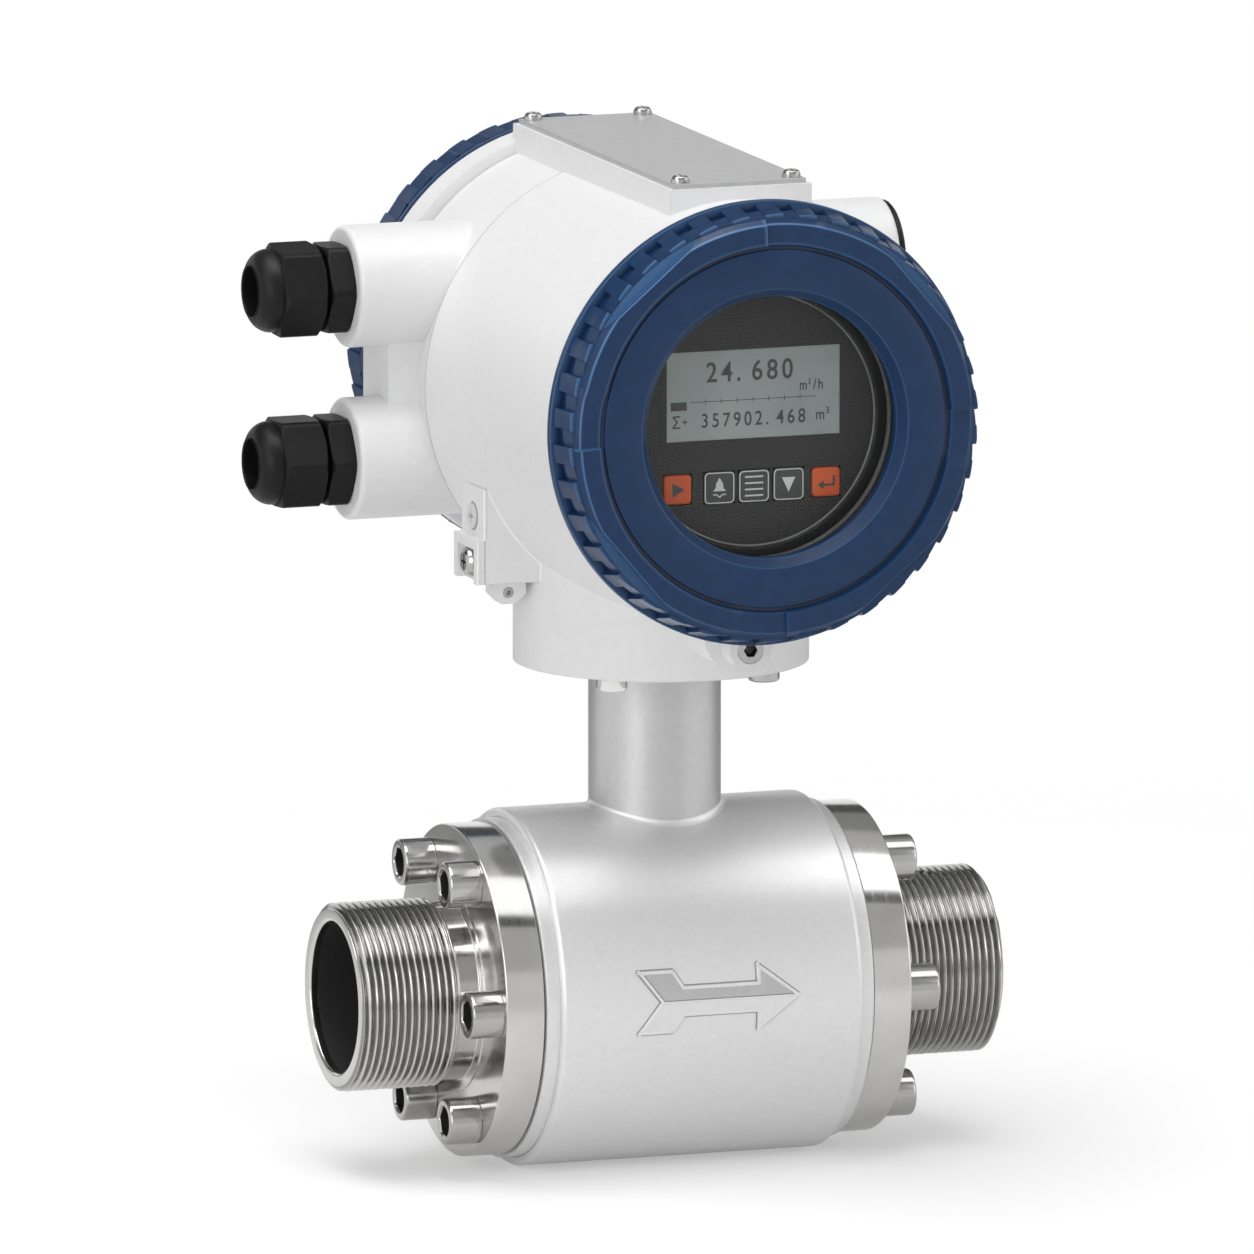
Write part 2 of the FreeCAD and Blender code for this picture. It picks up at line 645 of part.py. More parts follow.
def flange_fasteners(end, side, screw):
    """Six screws on one flange."""
    face = "flange_face + flange_thick"
    way = "-X" if side > 0 else "+X"
    spots = []
    for i in range(FLANGE_SCREWS):
        across, up = circle_spot("screw_circle", str(360 // FLANGE_SCREWS * i))
        spots.append((way, (sided(face, side), across, up)))
    copies(end + "_screws", screw, spots)


def arrow_corners(inset):
    """Upper half of the flow arrow's outline: swallow tail, shaft and head, drawn in by an inset."""
    wing = "arrow_level + arrow_wing - " + inset
    shaft = "arrow_level + arrow_shaft - " + inset
    return [
        ("-arrow_tail + %s * tail_borders" % inset, wing),
        ("-arrow_fletch - %s * slant_borders" % inset, wing),
        ("-arrow_waist - %s * slant_borders" % inset, shaft),
        ("arrow_barb + " + inset, shaft),
        ("arrow_barb + " + inset, "arrow_level + arrow_head - %s * barb_borders" % inset),
        ("arrow_tip - %s * tip_borders" % inset, "arrow_level"),
    ]


def drum_shell():
    corners = [
        ("-drum_half", DRUM_INNER),
        ("-drum_half", "drum_radius"),
        ("drum_half", "drum_radius"),
        ("drum_half", DRUM_INNER),
    ]
    shell = turned("drum_blank", "X", corners)
    radius = SHEET.get("drum_radius")
    rounded(shell, "drum_edge", lambda edge: is_circle(edge) and abs(edge.Curve.Radius - radius) < TOUCH)
    port = cylinder("drum_port", "+Z", "neck_radius + fit_gap", "drum_radius * 2", MIDDLE)
    arrow = arrow_corners("0") + [
        ("arrow_barb", "arrow_level - arrow_head"),
        ("arrow_barb", "arrow_level - arrow_shaft"),
        ("-arrow_waist", "arrow_level - arrow_shaft"),
        ("-arrow_fletch", "arrow_level - arrow_wing"),
        ("-arrow_tail", "arrow_level - arrow_wing"),
        ("-arrow_notch", "arrow_level"),
    ]
    open_half = arrow_corners("arrow_border") + [("-arrow_notch + arrow_border", "arrow_level")]
    top = "drum_radius + arrow_rise"
    skin = ring("arrow_skin", "X", "-drum_half", "drum_half", "drum_radius - drum_wall / 2", top)
    sunk = ring("arrow_sunk", "X", "-drum_half", "drum_half", top + " - arrow_sink", top + " + cut_past")
    raised = common("arrow_raised", skin, padded("arrow_column", arrow, "drum_radius * 2"))
    opened = common("arrow_opened", sunk, padded("arrow_open_column", open_half, "drum_radius * 2"))
    ported = cut("drum_ported", shell, [port])
    return piece("drum_shell", cut("drum_marked", fuse("drum_arrow", [ported, raised]), [opened]))


def measuring_tube():
    tube = ring("tube_blank", "X", "-(%s)" % RING_FACE, RING_FACE, TUBE_INNER, TUBE_OUTER)
    hole = cylinder("tube_holes", "+Y", "bush_stub + fit_gap", "drum_radius * 2", DRUM_FRONT)
    return piece("measuring_tube", cut("tube_drilled", tube, [hole]))


def bore_liner():
    end = "pipe_half - lip_length - fit_gap"
    liner = ring("liner_blank", "X", "-(%s)" % end, end, "bore_radius", LINER_OUTER)
    hole = cylinder("liner_holes", "+Y", "electrode_radius + fit_gap", "drum_radius * 2", DRUM_FRONT)
    return piece("bore_liner", cut("liner_drilled", liner, [hole]))


def electrodes():
    """Two pins that face each other across the bore, each in an insulating bush."""
    pins = []
    bushes = []
    for name, way, sign in (("front", "-Y", "-"), ("rear", "+Y", "")):
        start = ("0", sign + "(bore_radius + fit_gap)", "0")
        pins.append(cylinder(name + "_electrode", way, "electrode_radius", "electrode_length", start))
        bore = "electrode_radius + fit_gap"
        bush = turned(name + "_bush", "Y", [(sign + "(%s)" % along, radius) for along, radius in [
            (LINER_OUTER + " + fit_gap * 2", bore),
            (LINER_OUTER + " + fit_gap * 2", "bush_stub"),
            (TUBE_OUTER + " + fit_gap", "bush_stub"),
            (TUBE_OUTER + " + fit_gap", "bush_radius"),
            (TUBE_OUTER + " + bush_tall", "bush_radius"),
            (TUBE_OUTER + " + bush_tall", bore),
        ]])
        bushes.append(bush)
    group("electrodes", pins)
    group("electrode_bushes", bushes)


def magnet_system():
    """Two coils on pole cores, above and below the tube, inside a yoke that lines the drum."""
    yoke = ring("yoke_blank", "X", "-yoke_half", "yoke_half", YOKE_OUTER + " - yoke_wall", YOKE_OUTER)
    cable_foot = ("0", "-cable_ahead", "0")
    wire_hole = cylinder("yoke_hole", "+Z", "cable_radius + run_gap", "drum_radius", cable_foot)
    piece("magnet_yoke", cut("yoke_drilled", yoke, [wire_hole]))
    for name, way, sign in (("upper", "+Z", ""), ("lower", "-Z", "-")):
        low = sign + "(coil_foot)"
        high = sign + "(%s)" % COIL_TOP
        piece(name + "_coil", ring(name + "_coil_wound", "Z", low, high, "coil_inner", "coil_outer"))
        bar = cylinder(name + "_pole_bar", way, "coil_inner - fit_gap", "drum_radius", MIDDLE)
        saddle = ring(name + "_pole_span", "X", "-coil_outer", "coil_outer", TUBE_OUTER + " + fit_gap",
                      YOKE_OUTER + " - yoke_wall - fit_gap")
        piece(name + "_pole", common(name + "_pole_shaped", bar, saddle))


# Neck


def neck_spots():
    """The four neck screws: across and ahead."""
    spots = []
    for i in range(NECK_SCREWS):
        angle = "neck_screw_tilt + %d" % (360 // NECK_SCREWS * i)
        across = "neck_screw_circle * cos(%s)" % angle
        spots.append((across, "neck_screw_circle * sin(%s) - turret_ahead" % angle))
    return spots


def neck_holes(name, radius, low, length):
    """Four cutters along Z at the neck screws, from below a face."""
    holes = []
    for across, ahead in neck_spots():
        spot = (across, ahead, low + " - cut_past")
        holes.append(cylinder(name + "_hole", "+Z", radius, length + " + cut_past", spot))
    return holes


def neck():
    turret_axis = ("0", "-turret_ahead", NECK_SEAT)
    disc_radius = "turret_radius - skirt_wall - fit_gap"
    tube = cylinder("neck_pipe", "+Z", "neck_radius", NECK_SEAT, MIDDLE)
    disc = cylinder("neck_disc", "+Z", disc_radius, "neck_flange_thick", turret_axis)
    bore = cylinder("neck_bore", "+Z", "neck_radius - neck_wall", NECK_TOP + " + cut_past", MIDDLE)
    saddle = cylinder("neck_saddle", "+X", DRUM_INNER, "drum_half * 2", ("-drum_half", "0", "0"))
    loose = "neck_screw_radius + screw_slack"
    holes = neck_holes("neck", loose, NECK_SEAT, "neck_flange_thick + cut_past")
    piece("neck_tube", cut("neck_bored", fuse("neck_welded", [tube, disc]), [bore, saddle] + holes))
    sheet = cylinder("gasket_sheet", "+Z", disc_radius, "neck_gasket_thick", ("0", "-turret_ahead", NECK_TOP))
    opening = cylinder("gasket_bore", "+Z", "neck_radius - neck_wall", "neck_gasket_thick + cut_past * 2",
                       ("0", "0", NECK_TOP + " - cut_past"))
    gasket_holes = neck_holes("gasket", loose, NECK_TOP, "neck_gasket_thick + cut_past")
    piece("neck_gasket", cut("gasket_punched", sheet, [opening] + gasket_holes))
    reach = "neck_flange_thick + neck_gasket_thick + neck_screw_reach"
    screw = socket_screw("neck_screw", "neck_screw_radius", reach, "neck_screw_head", "neck_screw_tall",
                         "neck_screw_socket", "neck_screw_tall / 2")
    copies("neck_screws", screw, [("+Z", (across, ahead, NECK_SEAT)) for across, ahead in neck_spots()])
    bottom = YOKE_OUTER + " - yoke_wall + run_gap"
    cable_length = "head_height - board_radius + cable_radius * 2 - (%s)" % bottom
    cable = cylinder("cable", "+Z", "cable_radius", cable_length, ("0", "-cable_ahead", bottom))
    piece("sensor_cable", cable)


# Head casting


def plate_spots():
    across = "pad_half - plate_screw_inset"
    front = "plate_screw_inset - pad_front"
    rear = "pad_rear - plate_screw_inset"
    return [("-(%s)" % across, front), (across, front), ("-(%s)" % across, rear), (across, rear)]


def cable_boss(name, height, side):
    """A round boss on the side of the rear barrel, its outer edge rounded."""
    end = sided("boss_reach", side)
    boss = turned(name + "_boss", "X", [("0", "0"), ("0", "boss_radius"), (end, "boss_radius"), (end, "0")],
                  ("0", "boss_behind", height))
    face = SHEET.get("boss_reach") * side
    return rounded(boss, "boss_round", lambda edge: is_circle(edge) and abs(edge.Curve.Center.x - face) < TOUCH)


def drafted(name, first, last, length, at):
    """A round barrel along +Y that goes from one radius to another."""
    barrel = DOC.addObject("Part::Cone", name)
    bind(barrel, "Radius1", first)
    bind(barrel, "Radius2", last)
    bind(barrel, "Height", length)
    place(barrel, at, TURNS["+Y"])
    return barrel


def head_outside():
    rim_front = "head_rear - rim_wide"
    belly_axis = "head_height - belly_drop"
    front_barrel = drafted("front_barrel", "front_radius", "seam_radius", "head_front + seam_place",
                           ("0", "-head_front", "head_height"))
    front_belly = drafted("front_belly", "belly_nose", "belly_radius", "head_front + seam_place",
                          ("0", "-head_front", belly_axis))
    rear_belly = drafted("rear_belly", "belly_radius", "belly_end", rim_front + " - groove_wide - seam_place",
                         ("0", "seam_place", belly_axis))
    rear_barrel = turned("rear_barrel", "Y", [
        ("0", "0"),
        ("0", "rear_radius"),
        (rim_front + " - groove_wide", "rear_radius"),
        (rim_front + " - groove_wide", "rear_radius - groove_deep"),
        (rim_front, "rear_radius - groove_deep"),
        (rim_front, "rim_radius"),
        ("head_rear", "rim_radius"),
        ("head_rear", "0"),
    ], HEAD_AXIS)
    turret = cylinder("turret", "+Z", "turret_radius", "head_height - turret_bottom - cavity_radius / 2",
                      ("0", "-turret_ahead", "turret_bottom"))
    upper = cable_boss("upper", "upper_boss", -1)
    lower = cable_boss("lower", "lower_boss", -1)
    far = cable_boss("far", "upper_boss", 1)
    web = block("boss_web", ("-web_reach", "boss_behind - web_ahead", "lower_boss"),
                ("web_reach", "web_wide", "upper_boss - lower_boss"))
    pad = block("plate_pad", ("-pad_half", "-pad_front", "head_height"),
                ("pad_half * 2", "pad_front + pad_rear", "pad_top - head_height"))
    gusset = block("gusset", ("-gusset_reach", "-gusset_front", "gusset_bottom"),
                   ("gusset_reach - turret_radius / 2", "gusset_wide", "gusset_tall"))
    ground = block("ground_block", ("-gusset_reach - block_rise", "-gusset_front", "gusset_bottom"),
                   ("block_rise * 2", "gusset_wide", "block_tall"))
    lug_bottom = "gusset_bottom - lug_tall"
    lug = padded("lug", [
        ("-lug_reach", "gusset_bottom + cut_past"),
        ("-lug_reach", lug_bottom + " + lug_round"),
        ("-lug_reach + lug_round", lug_bottom),
        ("-lug_inner - lug_round", lug_bottom),
        ("-lug_inner", lug_bottom + " + lug_round"),
        ("-lug_inner", "gusset_bottom + cut_past"),
    ], "lug_wide", ("0", "lug_wide - lug_front", "0"))
    turret_front = "turret_wall / 2 - turret_ahead - turret_radius"
    lock = cylinder("lock_boss", "-Y", "lock_radius", "lock_reach + (%s)" % turret_front,
                    ("0", turret_front, "lock_height"))
    rib = cylinder("lock_rib", "-Y", "lock_rib_radius", "lock_rib_reach + (%s)" % turret_front,
                   ("0", turret_front, "lock_height + lock_rib_lift"))
    barrels = [front_barrel, front_belly, rear_belly, rear_barrel, turret]
    bosses = [upper, lower, far, web, lock, rib]
    return fuse("head_outside", barrels + bosses + [pad, gusset, ground, lug])


def head_hollows():
    mouth = "spigot_radius + run_gap"
    mouth_deep = "cut_past + spigot_length + run_gap"
    seal_seat = SEAL_MAJOR + " + seal_section + run_gap"
    seat_deep = "cut_past + " + GROOVE_WIDE
    front = ("0", "-head_front - cut_past", "head_height")
    rear = ("0", "head_rear + cut_past", "head_height")
    hollows = [
        cylinder("front_chamber", "+Y", "cavity_radius", "head_front + cut_past + partition_front", front),
        cylinder("front_mouth", "+Y", mouth, mouth_deep, front),
        cylinder("front_seal_seat", "+Y", seal_seat, seat_deep, front),
        cylinder("rear_chamber", "-Y", "cavity_radius", "head_rear + cut_past - (%s)" % PARTITION_REAR, rear),
        cylinder("rear_mouth", "-Y", mouth, mouth_deep, rear),
        cylinder("rear_seal_seat", "-Y", seal_seat, seat_deep, rear),
        cylinder("turret_room", "+Z", "turret_radius - turret_wall",
                 "head_height - cavity_radius + turret_wall - (%s)" % FLOOR_TOP,
                 ("0", "-turret_ahead", FLOOR_TOP)),
        cylinder("skirt_room", "+Z", "turret_radius - skirt_wall",
                 "%s - turret_bottom + cut_past" % FLOOR_BOTTOM,
                 ("0", "-turret_ahead", "turret_bottom - cut_past")),
        cylinder("wire_way", "+Z", "cable_radius + run_gap", "floor_thick + cut_past * 2",
                 ("0", "-cable_ahead", FLOOR_BOTTOM + " - cut_past")),
        cylinder("feed_hole", "+Y", "feed_radius + fit_gap", "partition_thick + cut_past * 2",
                 ("0", "partition_front - cut_past", "head_height - feed_drop")),
        cylinder("ground_hole", "+X", "ground_radius + fit_gap", "ground_reach + fit_gap", GROUND_SPOT),
        cylinder("seal_hole", "+X", "seal_radius + fit_gap", "seal_reach + fit_gap", SEAL_SPOT),
        cylinder("lug_hole", "+Y", "lug_screw_radius + fit_gap", "lug_screw_length + fit_gap", LUG_SPOT),
        cylinder("lock_hole", "+Y", "lock_screw_radius + fit_gap", "lock_screw_length + fit_gap", LOCK_SPOT),
        block("ground_recess", ("-gusset_reach - block_rise - cut_past", "block_frame - gusset_front",
                                "gusset_bottom - cut_past"),
              ("block_rise + cut_past", "gusset_wide - block_frame * 2",
               "block_tall - block_frame + cut_past")),
    ]
    length = "boss_reach + cut_past - entry_start"
    for name, way, height in (("upper", "-X", "upper_boss"), ("lower", "-X", "lower_boss"),
                              ("far", "+X", "upper_boss")):
        start = ("entry_start" if way == "+X" else "-entry_start", "boss_behind", height)
        hollows.append(cylinder(name + "_entry", way, "gland_thread + fit_gap", length, start))
    hollows += neck_holes("floor", "neck_screw_radius + fit_gap", FLOOR_BOTTOM, "neck_screw_reach + fit_gap")
    for across, ahead in plate_spots():
        hollows.append(cylinder("pad_hole", "-Z", "plate_screw_radius + fit_gap", "plate_screw_reach + fit_gap",
                                (across, ahead, "pad_top")))
    return hollows


def head_housing():
    return piece("head_housing", cut("head_cast", head_outside(), head_hollows()))


def top_plate():
    """The plate on the pad and its four screws."""
    plate = block("plate_sheet", ("plate_inset - pad_half", "plate_inset - pad_front", "pad_top"),
                  ("pad_half * 2 - plate_inset * 2", "pad_front + pad_rear - plate_inset * 2", "plate_thick"))
    holes = [cylinder("plate_hole", "+Z", "plate_screw_radius + fit_gap * 2", "plate_thick + cut_past * 2",
                      (across, ahead, "pad_top - cut_past")) for across, ahead in plate_spots()]
    piece("top_plate", cut("plate_drilled", plate, holes))
    screw = cross_screw("plate_screw", "plate_screw_radius", "plate_thick + plate_screw_reach",
                        "plate_screw_head", "plate_screw_tall")
    spots = [("-Z", (across, ahead, "pad_top + plate_thick")) for across, ahead in plate_spots()]
    copies("plate_screws", screw, spots)


def side_fasteners():
    """Ground screw, seal plug, lug set screw and cover lock screw."""
    ground = cross_screw("ground_bolt", "ground_radius", "ground_reach", "ground_head", "ground_tall")
    place(ground, GROUND_SPOT, TURNS["+X"])
    piece("ground_screw", ground)
    seal_face = ("-gusset_reach - seal_proud", GUSSET_MIDDLE, "gusset_bottom + seal_rise")
    stopper = cylinder("seal_stopper", "+X", "seal_radius", "seal_reach + seal_proud", seal_face)
    bars = []
    for name, wide, tall in (("slot", "cross_long", "cross_wide"), ("cross", "cross_wide", "cross_long")):
        corner = (
            "-gusset_reach - seal_proud - cut_past",
            "%s - seal_radius * %s / 2" % (GUSSET_MIDDLE, wide),
            "gusset_bottom + seal_rise - seal_radius * %s / 2" % tall,
        )
        size = ("cut_past * 2", "seal_radius * " + wide, "seal_radius * " + tall)
        bars.append(block("stopper_" + name, corner, size))
    piece("seal_plug", cut("seal_slotted", stopper, bars))
    grub = cylinder("lug_grub", "+Y", "lug_screw_radius", "lug_screw_length", LUG_SPOT)
    grub_socket = hexagon("lug_grub_socket", "+Y", "lug_screw_radius", "lug_screw_radius", LUG_SPOT)
    piece("lug_set_screw", cut("lug_grub_cut", grub, [grub_socket]))
    lock = cylinder("lock_grub", "+Y", "lock_screw_radius", "lock_screw_length", LOCK_SPOT)
    lock_socket = hexagon("lock_grub_socket", "+Y", "lock_socket", "lock_socket", LOCK_SPOT)
    piece("cover_lock_screw", cut("lock_grub_cut", lock, [lock_socket]))


# Screw covers, glass and seals


def cover_side(back, face, rim, sign):
    """Outside of a cover from its back lip to its face rim."""
    ahead = "%s(%s" % (sign, back)
    return [
        (ahead + ")", GROOVE_FLOOR),
        (ahead + ")", "cover_lip"),
        (ahead + " + lip_wide)", "cover_lip"),
        (ahead + " + lip_wide)", "band_radius"),
        ("%s(%s - rim_break)" % (sign, face), rim),
        ("%s(%s)" % (sign, face), rim + " - rim_break"),
        ("%s(%s)" % (sign, face), "rim_inner"),
        ("%s(%s - face_sink)" % (sign, face), "rim_inner - face_sink"),
    ]


def spigot_side(back, sign):
    """Spigot that goes into the casting, from its bore outwards to the seal groove at its root."""
    end = "%s(%s - spigot_length)" % (sign, back)
    groove_end = "%s(%s - %s)" % (sign, back, GROOVE_WIDE)
    return [
        (end, SPIGOT_INNER),
        (end, "spigot_radius"),
        (groove_end, "spigot_radius"),
        (groove_end, GROOVE_FLOOR),
    ]


def front_cover():
    face = COVER_FACE
    glass_room = "glass_radius + fit_gap"
    room_end = "-(%s - seat_sink - glass_thick - keeper_thick)" % face
    corners = cover_side(COVER_BACK, face, "rim_outer", "-") + [
        ("-(%s - face_sink)" % face, "bevel_radius"),
        ("-(%s - window_sink)" % face, "window_radius"),
        ("-(%s - seat_sink)" % face, "window_radius"),
        ("-(%s - seat_sink)" % face, glass_room),
        (room_end, glass_room),
        (room_end, SPIGOT_INNER),
    ] + spigot_side(COVER_BACK, "-")
    cover = turned("front_cover_body", "Y", corners, HEAD_AXIS)
    piece("front_cover", toothed(cover, "-(%s - rim_break)" % face, "cover_deep - rim_break - lip_wide"))
    glass_back = "-(%s - seat_sink - glass_thick)" % face
    glass_front = ("0", "fit_gap - (%s - seat_sink)" % face, "head_height")
    piece("window_glass", cylinder("glass_disc", "+Y", "glass_radius", "glass_thick - fit_gap", glass_front))
    keeper_back = glass_back + " + keeper_thick"
    keeper = ring("glass_keeper", "Y", glass_back, keeper_back, "keeper_inner", "glass_radius", HEAD_AXIS)
    piece("window_ring", keeper)


def rear_cover():
    face = REAR_FACE
    inner = face + " - face_sink - rear_plate"
    corners = cover_side(REAR_BACK, face, "rear_rim_outer", "") + [
        (face + " - face_sink", "0"),
        (inner, "0"),
        (inner, SPIGOT_INNER),
    ] + spigot_side(REAR_BACK, "")
    cover = turned("rear_cover_body", "Y", corners, HEAD_AXIS)
    piece("rear_cover", toothed(cover, REAR_BACK + " + lip_wide", "rear_deep - rim_break - lip_wide"))


def cover_seal(label, place_rule):
    seal = DOC.addObject("Part::Torus", label + "_ring")
    bind(seal, "Radius1", SEAL_MAJOR)
    bind(seal, "Radius2", "seal_section")
    place(seal, ("0", place_rule, "head_height"), TURNS["+Y"])
    return piece(label, seal)


# Display and boards


def key_list():
    """Key name, place across and width, from left to right."""
    return [
        ("escape_key", "-left_key_step", "end_key"),
        ("alarm_key", "-mid_key_step", "mid_key"),
        ("menu_key", "0", "mid_key"),
        ("down_key", "mid_key_step", "mid_key"),
        ("enter_key", "right_key_step", "end_key"),
    ]


def pillar_spots():
    """The four board pillars: across and up."""
    ups = ("head_height - pillar_spot", "head_height + pillar_spot")
    return [(across, up) for across in ("-pillar_spot", "pillar_spot") for up in ups]


def centred(across, up, wide, tall, front):
    """Low corner of a block that faces the front, from its middle, width, height and front face."""
    return ("%s - (%s) / 2" % (across, wide), "-(%s)" % front, "%s - (%s) / 2" % (up, tall))


def display_panel():
    """Round panel with its sleeve, the display window and the key holes."""
    back = "-(%s)" % PANEL_BACK
    sleeve_outer = "sleeve_inner + sleeve_wall"
    plate = turned("panel_plate", "Y", [
        (back, "0"),
        (back, "panel_radius"),
        ("-panel_front", "panel_radius"),
        ("-panel_front", sleeve_outer),
        ("-panel_front - sleeve_tall", sleeve_outer),
        ("-panel_front - sleeve_tall", "sleeve_inner"),
        ("-panel_front", "sleeve_inner"),
        ("-panel_front", "0"),
    ], HEAD_AXIS)
    past_front = "panel_front + cut_past"
    through = "panel_thick + cut_past * 2"
    wide = "lcd_wide + fit_gap * 2"
    tall = "lcd_tall + fit_gap * 2"
    openings = [block("panel_window", centred("0", LCD_LEVEL, wide, tall, past_front), (wide, through, tall))]
    for name, across, width in key_list():
        hole = width + " + run_gap * 2"
        corner = centred(across, KEY_ROW, hole, hole, past_front)
        openings.append(block(name + "_hole", corner, (hole, through, hole)))
    piece("display_bezel", cut("panel_cut", plate, openings))


def display_module():
    """Display glass in the window, on its wider module behind the panel."""
    glass = block("lcd_glass", centred("0", LCD_LEVEL, "lcd_wide", "lcd_tall", "panel_front - lcd_sink"),
                  ("lcd_wide", "panel_thick - lcd_sink + fit_gap * 2", "lcd_tall"))
    wide = "lcd_wide + lcd_rim * 2"
    tall = "lcd_tall + lcd_rim * 2"
    corner = centred("0", LCD_LEVEL, wide, tall, PANEL_BACK + " - fit_gap")
    module = block("lcd_body", corner, (wide, "lcd_deep", tall))
    piece("lcd_module", fuse("lcd_joined", [glass, module]))


def keys():
    """Five keys held behind the panel by flanges above and below, and the switch behind each."""
    switch_tall = "lcd_deep + fit_gap - run_gap - key_flange - key_travel - run_gap"
    switch_front = "%s + %s" % (BOARD_FRONT, switch_tall)
    switches = []
    for name, across, wide in key_list():
        cap = block(name + "_cap", centred(across, KEY_ROW, wide, wide, "panel_front + key_rise"),
                    (wide, "key_rise + panel_thick + run_gap + key_flange", wide))
        tall = wide + " + key_wing * 2"
        flange = block(name + "_wings", centred(across, KEY_ROW, wide, tall, PANEL_BACK + " - run_gap"),
                       (wide, "key_flange", tall))
        piece(name, fuse(name + "_moulded", [cap, flange]))
        corner = centred(across, KEY_ROW, "switch_wide", "switch_wide", switch_front)
        switches.append(block(name + "_switch", corner, ("switch_wide", switch_tall, "switch_wide")))
    group("key_switches", switches)


def circuit_board(label, front):
    """A round board on the four pillars."""
    disc = cylinder(label + "_disc", "+Y", "board_radius", "board_thick", ("0", "-(%s)" % front, "head_height"))
    holes = [cylinder(label + "_hole", "+Y", "pillar_radius + fit_gap", "board_thick + cut_past * 2",
                      (across, "-(%s) - cut_past" % front, up)) for across, up in pillar_spots()]
    return piece(label, cut(label + "_drilled", disc, holes))


def electronics():
    circuit_board("display_board", BOARD_FRONT)
    circuit_board("main_board", "main_board_ahead")
    circuit_board("power_board", "cable_ahead + cable_radius + run_gap + board_thick")
    length = "partition_front + (%s)" % PANEL_BACK
    group("board_pillars", [cylinder("pillar", "-Y", "pillar_radius", length, (across, "partition_front", up))
                            for across, up in pillar_spots()])
    feed_start = ("0", "partition_front - feed_ahead", "head_height - feed_drop")
    piece("feedthrough", cylinder("feed_body", "+Y", "feed_radius", "feed_ahead + partition_thick", feed_start))


def terminals():
    """Terminal block on the partition, with a row of slotted screws sunk in it."""
    level = "head_height - terminal_drop"
    bar = block("terminal_bar", ("-terminal_half", PARTITION_REAR, level + " - terminal_tall / 2"),
                ("terminal_half * 2", "terminal_deep", "terminal_tall"))
    face = PARTITION_REAR + " + terminal_deep"
    holes = []
    screws = []
    for i in range(TERMINALS):
        across = "terminal_half * %s" % ((2 * i + 1) / TERMINALS - 1)
        hole_length = "terminal_sink + terminal_screw_deep + fit_gap + cut_past"
        holes.append(cylinder("terminal_hole", "-Y", "terminal_screw + fit_gap", hole_length,
                              (across, face + " + cut_past", level)))
        head = face + " - terminal_sink"
        shank = cylinder("terminal_pin", "-Y", "terminal_screw", "terminal_screw_deep", (across, head, level))
        slot = block("terminal_slot",
                     (across + " - terminal_screw", head + " - terminal_slot", level + " - terminal_slot / 2"),
                     ("terminal_screw * 2", "terminal_slot * 2", "terminal_slot"))
        screws.append(cut("terminal_screw_slotted", shank, [slot]))
    piece("terminal_block", cut("terminal_drilled", bar, holes))
    group("terminal_screws", screws)


# Cable glands and blanking plug


def gland(name, height, nut_spin):
    """Gland body with its hexagon, rubber insert and dome nut, along -X from the boss face."""
    face = ("-boss_reach", "boss_behind", height)
    stem_end = "-gland_hex - gland_stem_length"
    core = turned(name + "_gland_core", "X", [
        ("gland_reach", "gland_bore"),
        ("gland_reach", "gland_thread"),
        ("0", "gland_thread"),
        ("0", "gland_stem"),
        (stem_end, "gland_stem"),
        (stem_end, "gland_bore"),
    ], face)
    flats = hexagon(name + "_gland_hex", "-X", "gland_flats", "gland_hex", face, BODY_SPIN)
    passage = cylinder(name + "_gland_passage", "-X", "gland_bore", "gland_hex + cut_past * 2",
                       ("cut_past - boss_reach", "boss_behind", height))
    body = fuse(name + "_gland_joined", [core, flats])
    piece(name + "_gland_body", cut(name + "_gland_bored", body, [passage]))
    nut_face = ("-boss_reach - gland_hex - nut_gap", "boss_behind", height)
    dome = turned(name + "_nut_dome", "X", [
        ("0", "0"),
        ("0", "nut_radius"),
        ("-nut_length", "nut_radius"),
        ("-nut_length", "0"),
    ], nut_face)
    end = SHEET.get("nut_length")
    rounded(dome, "nut_dome", lambda edge: is_circle(edge) and abs(edge.Curve.Center.x + end) < TOUCH)
    nut_flats = hexagon(name + "_nut_flats", "-X", "gland_flats", "nut_hex", nut_face, nut_spin)
    chamber = turned(name + "_nut_chamber", "X", [
        ("cut_past", "0"),
        ("cut_past", "gland_stem + run_gap"),
        ("nut_end - nut_length", "gland_stem + run_gap"),
        ("nut_end - nut_length", "nut_hole"),
        ("-nut_length - cut_past", "nut_hole"),
        ("-nut_length - cut_past", "0"),
    ], nut_face)
    nut = fuse(name + "_nut_joined", [dome, nut_flats])
    piece(name + "_gland_nut", cut(name + "_nut_bored", nut, [chamber]))
    insert_low = "-boss_reach - gland_hex - nut_gap + nut_end - nut_length + run_gap"
    insert_high = "-boss_reach - gland_hex - gland_stem_length - run_gap"
    insert = ring(name + "_gland_rubber", "X", insert_low, insert_high, "insert_bore", "gland_stem",
                  ("0", "boss_behind", height))
    piece(name + "_gland_seal", insert)


def blanking_plug():
    face = ("boss_reach", "boss_behind", "upper_boss")
    stopper = turned("plug_turned", "X", [
        ("-gland_reach", "0"),
        ("-gland_reach", "gland_thread"),
        ("0", "gland_thread"),
        ("0", "plug_radius"),
        ("plug_thick - flange_chamfer", "plug_radius"),
        ("plug_thick", "plug_radius - flange_chamfer"),
        ("plug_thick", "0"),
    ], face)
    socket = hexagon("plug_socket", "-X", "plug_flats", "plug_socket",
                     ("boss_reach + plug_thick", "boss_behind", "upper_boss"))
    return piece("blanking_plug", cut("plug_cut", stopper, [socket]))


